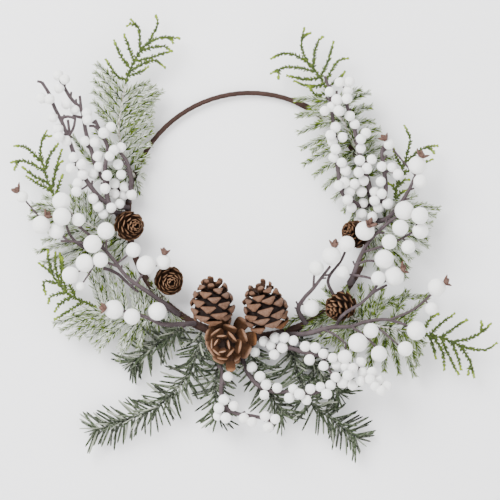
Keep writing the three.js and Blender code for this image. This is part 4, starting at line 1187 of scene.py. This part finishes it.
# %% Small-berry sprays
SMALL_SPRAYS = {
    "small_berries_left_1": ([(129.6, 200.5), (130, 193), (132, 180), (128, 163), (121, 153)], []),
    "small_berries_left_2": (
        [
            (128.8, 207.5), (113, 206), (100, 197), (87, 180), (78, 162), (71, 142), (64, 124), (56, 108),
            (51, 95), (44, 84),
        ],
        [((62, 121), (77, 120))],
    ),
    "small_berries_left_3": (
        [(128, 214), (114, 211), (107, 192), (106, 168), (109, 150), (104, 137), (96, 121)], [],
    ),
    "small_berries_left_4": (
        [(130.8, 193), (113, 187), (99, 172), (92, 150), (87, 133), (83, 112), (72, 99), (62, 82)],
        [((82, 109), (81, 97))],
    ),
    "small_berries_right_1": (
        [
            (370.5, 197), (369, 192), (367, 182), (362, 166), (358, 151), (355, 135), (350, 120),
            (346, 105), (345, 90),
        ],
        [],
    ),
    "small_berries_right_2": (
        [
            (371.5, 205.5), (358, 205), (342, 193), (338, 174), (336, 154), (335, 138), (332, 118),
            (330, 100), (329, 86),
        ],
        [],
    ),
    "small_berries_right_3": (
        [(372, 213), (380, 204), (385, 190), (383, 168), (381, 152), (386, 143)],
        [((383, 172), (392, 173))],
    ),
    "small_berries_foot_1": (
        [
            (257, 336.8), (268, 345), (288, 347), (306, 352), (324, 356), (343, 361), (362, 371),
            (376, 380), (384, 386),
        ],
        [((320, 355), (330, 371)), ((341, 360), (349, 378))],
    ),
    "small_berries_foot_2": (
        [
            (239.5, 336.6), (242, 356), (248, 373), (260, 386), (276, 391), (292, 391), (308, 393),
            (320, 390), (337, 383),
        ],
        [],
    ),
    "small_berries_foot_3": (
        [
            (218, 333), (216, 354), (222, 374), (221, 393), (226, 406), (238, 413), (252, 415),
            (266, 418), (275, 423),
        ],
        [],
    ),
}
SMALL_WIDTH = 10.4
SMALL_BERRIES = [
    (76, 111), (88, 114), (89, 121), (112, 128), (105, 134), (68, 142), (86, 142), (96, 143),
    (115, 151), (122, 148), (111, 157), (99, 157), (100, 167), (75, 158), (83, 165), (119, 165),
    (72, 169), (84, 175), (94, 174), (108, 176), (122, 175), (79, 184), (115, 184), (125, 187),
    (106, 189), (78, 192), (115, 194), (124, 195), (132, 195), (94, 199), (120, 204), (99, 207),
    (112, 208), (104, 214), (60, 77), (67, 81), (61, 90), (68, 105), (44, 100), (52, 101), (55, 119),
    (60, 130), (61, 138), (329, 93), (339, 84), (349, 83), (347, 92), (336, 101), (346, 100),
    (331, 108), (324, 112), (338, 112), (349, 117), (354, 125), (335, 128), (330, 136), (342, 138),
    (332, 142), (365, 134), (360, 140), (360, 149), (335, 150), (333, 158), (341, 163), (345, 171),
    (359, 161), (371, 160), (366, 169), (358, 173), (381, 167), (391, 168), (397, 175), (363, 181),
    (380, 182), (344, 183), (338, 186), (354, 184), (349, 192), (361, 192), (381, 194), (374, 192),
    (374, 201), (347, 200), (363, 203), (387, 204), (378, 208), (351, 208), (361, 214), (372, 217),
    (264, 341), (271, 345), (275, 337), (284, 337), (293, 340), (282, 347), (274, 354), (255, 352),
    (305, 346), (315, 347), (323, 353), (332, 357), (309, 359), (360, 361), (323, 365), (336, 364),
    (345, 366), (352, 367), (347, 374), (362, 372), (371, 371), (360, 380), (369, 378), (378, 379),
    (374, 385), (386, 385), (380, 389), (335, 376), (342, 382), (352, 384), (330, 384), (320, 386),
    (326, 393), (310, 388), (293, 388), (299, 393), (289, 397), (306, 399), (260, 376), (266, 384),
    (277, 387), (264, 394), (252, 367), (265, 415), (275, 418), (268, 426), (252, 421), (228, 376),
    (224, 399), (219, 407), (234, 405), (218, 415), (226, 417), (244, 417),
]

# %% Large-berry sprays
LARGE_SPRAYS = {
    "large_berries_left": (
        [(179, 314.5), (163, 302), (146, 290), (128, 277), (113, 258), (101, 245), (88, 233), (74, 222)],
        [
            ((120, 267), (97, 262)), ((108, 252), (108, 238)), ((103, 247), (62, 241)),
            ((136, 283), (150, 268)), ((84, 229), (65, 209)), ((70, 232), (50, 227)),
        ],
    ),
    "large_berries_foot_left": (
        [(195, 323.7), (180, 324), (164, 324), (150, 318), (136, 313), (121, 310)],
        [],
    ),
    "large_berries_right_foot": (
        [(276, 334), (288, 334), (306, 333), (330, 327), (350, 326), (366, 321), (386, 319), (404, 324)],
        [
            ((389, 319), (412, 309), (430, 294)), ((322, 330), (345, 343)), ((366, 321), (392, 340)),
            ((350, 326), (374, 345)),
        ],
    ),
    "large_berries_right": (
        [(353, 281), (348, 284), (352, 276), (358, 260), (365, 246), (374, 235), (386, 224), (398, 215)],
        [
            ((357, 263), (378, 262)), ((362, 252), (391, 243), (412, 232)), ((353, 274), (380, 283)),
        ],
    ),
    "large_berries_right_inner": (
        [(306, 323.5), (298, 310), (303, 299), (312, 289), (320, 279), (330, 266)],
        [((312, 289), (314, 274))],
    ),
    "large_berries_right_upper": ([(372, 221), (386, 219), (398, 206), (408, 190), (414, 176)], []),
}
LARGE_BERRIES = [
    (63, 202, 18), (64, 217, 18), (43, 225, 18), (58, 231, 16), (80, 220, 13), (107, 231, 17),
    (94, 244, 18), (134, 250, 15), (147, 265, 19), (164, 262, 15), (86, 263, 18), (102, 260, 15),
    (72, 275, 17), (82, 286, 9), (115, 309, 19), (133, 316, 16), (158, 311, 18), (24, 197, 12),
    (364, 231, 19), (346, 244, 16), (331, 256, 19), (316, 268, 15), (342, 272, 14), (311, 308, 17),
    (403, 211, 19), (418, 216, 17), (399, 228, 16), (419, 231, 16), (388, 242, 15), (407, 247, 14),
    (383, 259, 19), (393, 276, 19), (377, 278, 14), (416, 166, 18), (419, 182, 14), (435, 287, 18),
    (430, 308, 13), (415, 330, 19), (370, 330, 15), (357, 342, 19), (378, 353, 16), (404, 348, 15),
    (344, 356, 14), (388, 145, 11),
]
# Short forks that this lesson adds to the stems.
FORKS = {
    "small_berries_left_2": [
        ((45, 86), (39.5, 83)), ((71, 140), (70.5, 130), (69.5, 121)), ((70, 138), (75, 129), (77, 118)),
    ],
    "small_berries_left_3": [((100, 131), (90.5, 127))],
    "small_berries_left_4": [((84, 118), (80, 118), (74, 116.5))],
    "small_berries_right_2": [((329.5, 92), (326, 83), (324, 77.5)), ((331, 103), (335.5, 99), (336, 92))],
}
# Bare twigs that this lesson adds, each point with its distance in front of the hoop.
BARE_TWIGS = {
    "large_berries_left": [
        [(88, 249, 24), (80, 244.5, 28), (74, 239, 29), (70, 233, 28), (67.5, 226, 26)],
        [(104, 268, 21), (112, 270.5, 21), (120, 275, 20), (128, 283, 19), (139, 292, 18)],
    ],
    "large_berries_right_foot": [
        [
            (336, 326, 18), (340, 317, 32), (348, 310, 40), (360, 303, 40), (369, 295, 34),
            (378, 289, 28), (386, 285, 24),
        ],
        [(368, 296, 34), (373, 290, 30), (377, 284, 26)],
    ],
    "large_berries_right": [
        [(334, 296, 12), (328, 284, 16), (329, 276, 20), (335, 268, 22), (341, 260, 24), (345, 251, 24)],
        [(353, 275, 12), (348, 284, 10), (342, 294, 9)],
    ],
}
# Which berries end in a calyx, and where it points. A third number is how far that lies in front of
# the berry's middle.
CALYXES = {
    (164, 262): (165, 252), (115, 309): (103, 307, 5), (364, 231): (368.5, 224.5, 7),
    (331, 256): (334, 245), (393, 276): (403, 268), (416, 166): (420, 157), (435, 287): (447, 280),
    (388, 145): (384, 140), (43, 225): (52, 212), (24, 197): (18, 190),
}


# %% Hanging the berries
# A crossing thicker than this share of a berry's radius is the solid's own ball, whose middle lies
# the next share of the radius behind its front.
BALL_SHARE = 1.4
BALL_MIDDLE = 0.95
# The other berries try these millimetres outwards in turn, until they hardly touch another.
MOVES = (0, 1, -1, 2, -2, 3, 4, -3, 5, 6, 7, 8, 9, 10, 12, 14)
CLEARANCE = 0.96


class Berry:
    """A berry: its node, middle, radius in metres, and the place on a stem that it hangs from."""

    def __init__(self, node, centre, radius, root):
        self.node = node
        self.centre = centre
        self.radius = radius
        self.root = root


def modelled_depth(depths, centre, radius):
    """The depth of the solid model's own ball at this place, or None."""
    for front, back in depths.crossings(centre.x, centre.z):
        if back - front > BALL_SHARE * radius:
            return front + BALL_MIDDLE * radius
    return None


def hang(berries, routes, outward):
    """Gives every berry its node and depth, those of the solid model first."""
    depths = {node: Depths(node) for node in routes}
    spots = [(node, point) for node, spray in routes.items() for route in spray for point in route[2:]]
    hung = []
    waiting = []
    for right, down, width in berries:
        flat = place(right, down)
        radius = width / 2 * MM
        near = sorted(spots, key=lambda spot: flat_distance(spot[1], flat))
        for node in dict.fromkeys(node for node, _ in near):
            depth = modelled_depth(depths[node], flat, radius)
            if depth is not None:
                centre = Vector((flat.x, depth, flat.z))
                own = [point for owner, point in spots if owner == node]
                root = min(own, key=lambda point: (point - centre).length)
                hung.append(Berry(node, centre, radius, root))
                break
        else:
            waiting.append((flat, radius, near[0]))
    for flat, radius, (node, root) in waiting:
        for move in MOVES:
            centre = Vector((flat.x, root.y - (outward + move) * MM, flat.z))
            if all((centre - other.centre).length > CLEARANCE * (radius + other.radius) for other in hung):
                break
        hung.append(Berry(node, centre, radius, root))
    return hung


# %% [markdown]
# A spray is drawn as one bundle of tubes, all of which taper: its stem, its twigs, the bare twigs, a
# short stalk to each berry, and a few broken-off knobs. The berries take their shapes in turn.

# %% Dressing the sprays
TWIG_TAPER = (1.0, 0.75)
BARE_TAPER = (1.3, 0.9)
STALK_TAPER = (0.7, 0.6)
KNOB_TAPER = (0.8, 0.6)
STALK_STEP = 2.5
STALK_SAG = Vector((0, 0, -0.6 * MM))
KNOB_LENGTHS = (2.5, 5.5)


def stalk(berry):
    """A route from the stem to a berry's middle, sagging a little."""
    middle = berry.root.lerp(berry.centre, 0.5) + STALK_SAG
    return curve_through([berry.root, middle, berry.centre], STALK_STEP)


def knob(stem, rng):
    """A short route off the stem, at a place that chance picks."""
    index = rng.randrange(2, len(stem) - 1)
    tangent = (stem[index + 1] - stem[index - 1]).normalized()
    across = tangent.cross(FRONT) * rng.choice((-1, 1))
    return [stem[index], stem[index] + (tangent + across) * rng.uniform(*KNOB_LENGTHS) * MM]


def rolled(berry, rng):
    """A berry's placing, turned by chance."""
    turn = Matrix.Rotation(rng.random() * math.tau, 4, "Z") @ Matrix.Rotation(rng.random() * 3, 4, "X")
    return Matrix.Translation(berry.centre) @ turn @ Matrix.Scale(berry.radius, 4), rng.random()


def dress(sprays, berries, shapes, outward, thickness, knobs):
    """Makes a finished spray for each node: stem, stalks, berries and calyxes."""
    first, last = thickness
    grown = {node: routes_of(node, *spray, FORKS.get(node, ())) for node, spray in sprays.items()}
    bare = {node: [laid(twig) for twig in BARE_TWIGS.get(node, ())] for node in sprays}
    hung = hang(berries, {node: grown[node] + bare[node] for node in sprays}, outward)
    for node, (main, *twigs) in grown.items():
        rng = random.Random(node)
        mine = [berry for berry in hung if berry.node == node]
        bundle = [(twig, TWIG_TAPER) for twig in twigs]
        bundle += [(twig, BARE_TAPER) for twig in bare[node]]
        bundle += [(stalk(berry), STALK_TAPER) for berry in mine]
        bundle += [(knob(main, rng), KNOB_TAPER) for _ in range(knobs)]
        lines = [tapered(main, first, last)]
        lines += [tapered(route, start * last, end * last) for route, (start, end) in bundle]
        wood = drawn(node + "_stem", lines, stem_look, resolution=2)
        roughened(wood, 2.5, 0.22)
        parts = [wood]
        for k, shape in enumerate(shapes):
            placings = [rolled(berry, rng) for berry in mine[k::len(shapes)]]
            if placings:
                parts.append(copies(node + "_berries", shape, placings, berry_look))
        sepals = []
        for spot, aim in CALYXES.items():
            worn = [berry for berry in mine if flat_distance(place(*spot), berry.centre) < 0.1 * MM]
            sepals += [placing for berry in worn for placing in calyx(berry, aim, rng)]
        if sepals:
            parts.append(copies(node + "_calyxes", sepal, sepals, calyx_look))
        finished("sugared_" + node, node, "sugared_berries", *parts)
        print("    of them", len(mine), "berries")


def small_width(number):
    """A small berry's width, a little different from that of its neighbours in the list."""
    return SMALL_WIDTH * (0.94 + 0.12 * ((7 * number) % 10) / 10)


small_berries = [(*spot, small_width(number)) for number, spot in enumerate(SMALL_BERRIES)]
dress(SMALL_SPRAYS, small_berries, small_shapes, outward=3.5, thickness=(2.7, 1.7), knobs=7)
dress(LARGE_SPRAYS, LARGE_BERRIES, large_shapes, outward=5, thickness=(2.7, 1.4), knobs=4)

# %% [markdown]
# The stage is a pale wall just behind the hoop and a pale floor well below it. The wall is clear from
# behind, so that the wreath's back can be looked at. Neither is part of the object.

# %% Wall and floor
STAGE_WIDTH = 6
WALL_GAP = 0.006
WALL_MIDDLE = 0.6
FLOOR_HEIGHT = -0.75


def panel(name, location, rotation, colour):
    """A plain pale sheet of the stage."""
    bpy.ops.mesh.primitive_plane_add(size=STAGE_WIDTH, location=location, rotation=rotation)
    sheet = bpy.context.object
    sheet.name = name
    look = Look(name, roughness=0.95, specular=0.1)
    look.shader.inputs["Base Color"].default_value = colour
    sheet.data.materials.append(look.material)
    return look


wall_look = panel("wall", (0, WALL_GAP, WALL_MIDDLE), (math.radians(90), 0, 0), srgb(246, 246, 248))
clear = wall_look.add("BsdfTransparent")
behind = wall_look.add("NewGeometry", {}, {}, "Backfacing")
surface = Link(wall_look, wall_look.shader.outputs[0])
shown = wall_look.add("MixShader", {}, {0: behind, 1: surface, 2: clear})
wall_look.tree.links.new(shown.socket, wall_look.tree.nodes["Material Output"].inputs["Surface"])
panel("floor", (0, 0, FLOOR_HEIGHT), (0, 0, 0), srgb(228, 227, 226))
print("the stage is", STAGE_WIDTH, "metres wide")

# %% [markdown]
# The light is soft and comes mainly from the upper left, with a weaker fill from the right. The room
# round the wreath is pale too, so no side of it falls dark.


# %% Light
def area_light(name, location, size, power):
    """A soft square light that faces the wreath."""
    data = bpy.data.lights.new(name, "AREA")
    data.size = size
    data.energy = power
    light = bpy.data.objects.new(name, data)
    light.location = location
    light.rotation_euler = (HOOP_CENTRE - Vector(location)).to_track_quat("-Z", "Y").to_euler()
    bpy.context.collection.objects.link(light)
    print(name, "has", power, "watts")


area_light("key_light", (-1.3, -2.0, 1.3), size=1.8, power=185)
area_light("fill_light", (1.7, -1.9, -0.1), size=2.0, power=34)
world = bpy.data.worlds.new("pale_room")
world.use_nodes = True
world.node_tree.nodes["Background"].inputs["Color"].default_value = srgb(226, 226, 226)
world.node_tree.nodes["Background"].inputs["Strength"].default_value = 1.3
bpy.context.scene.world = world
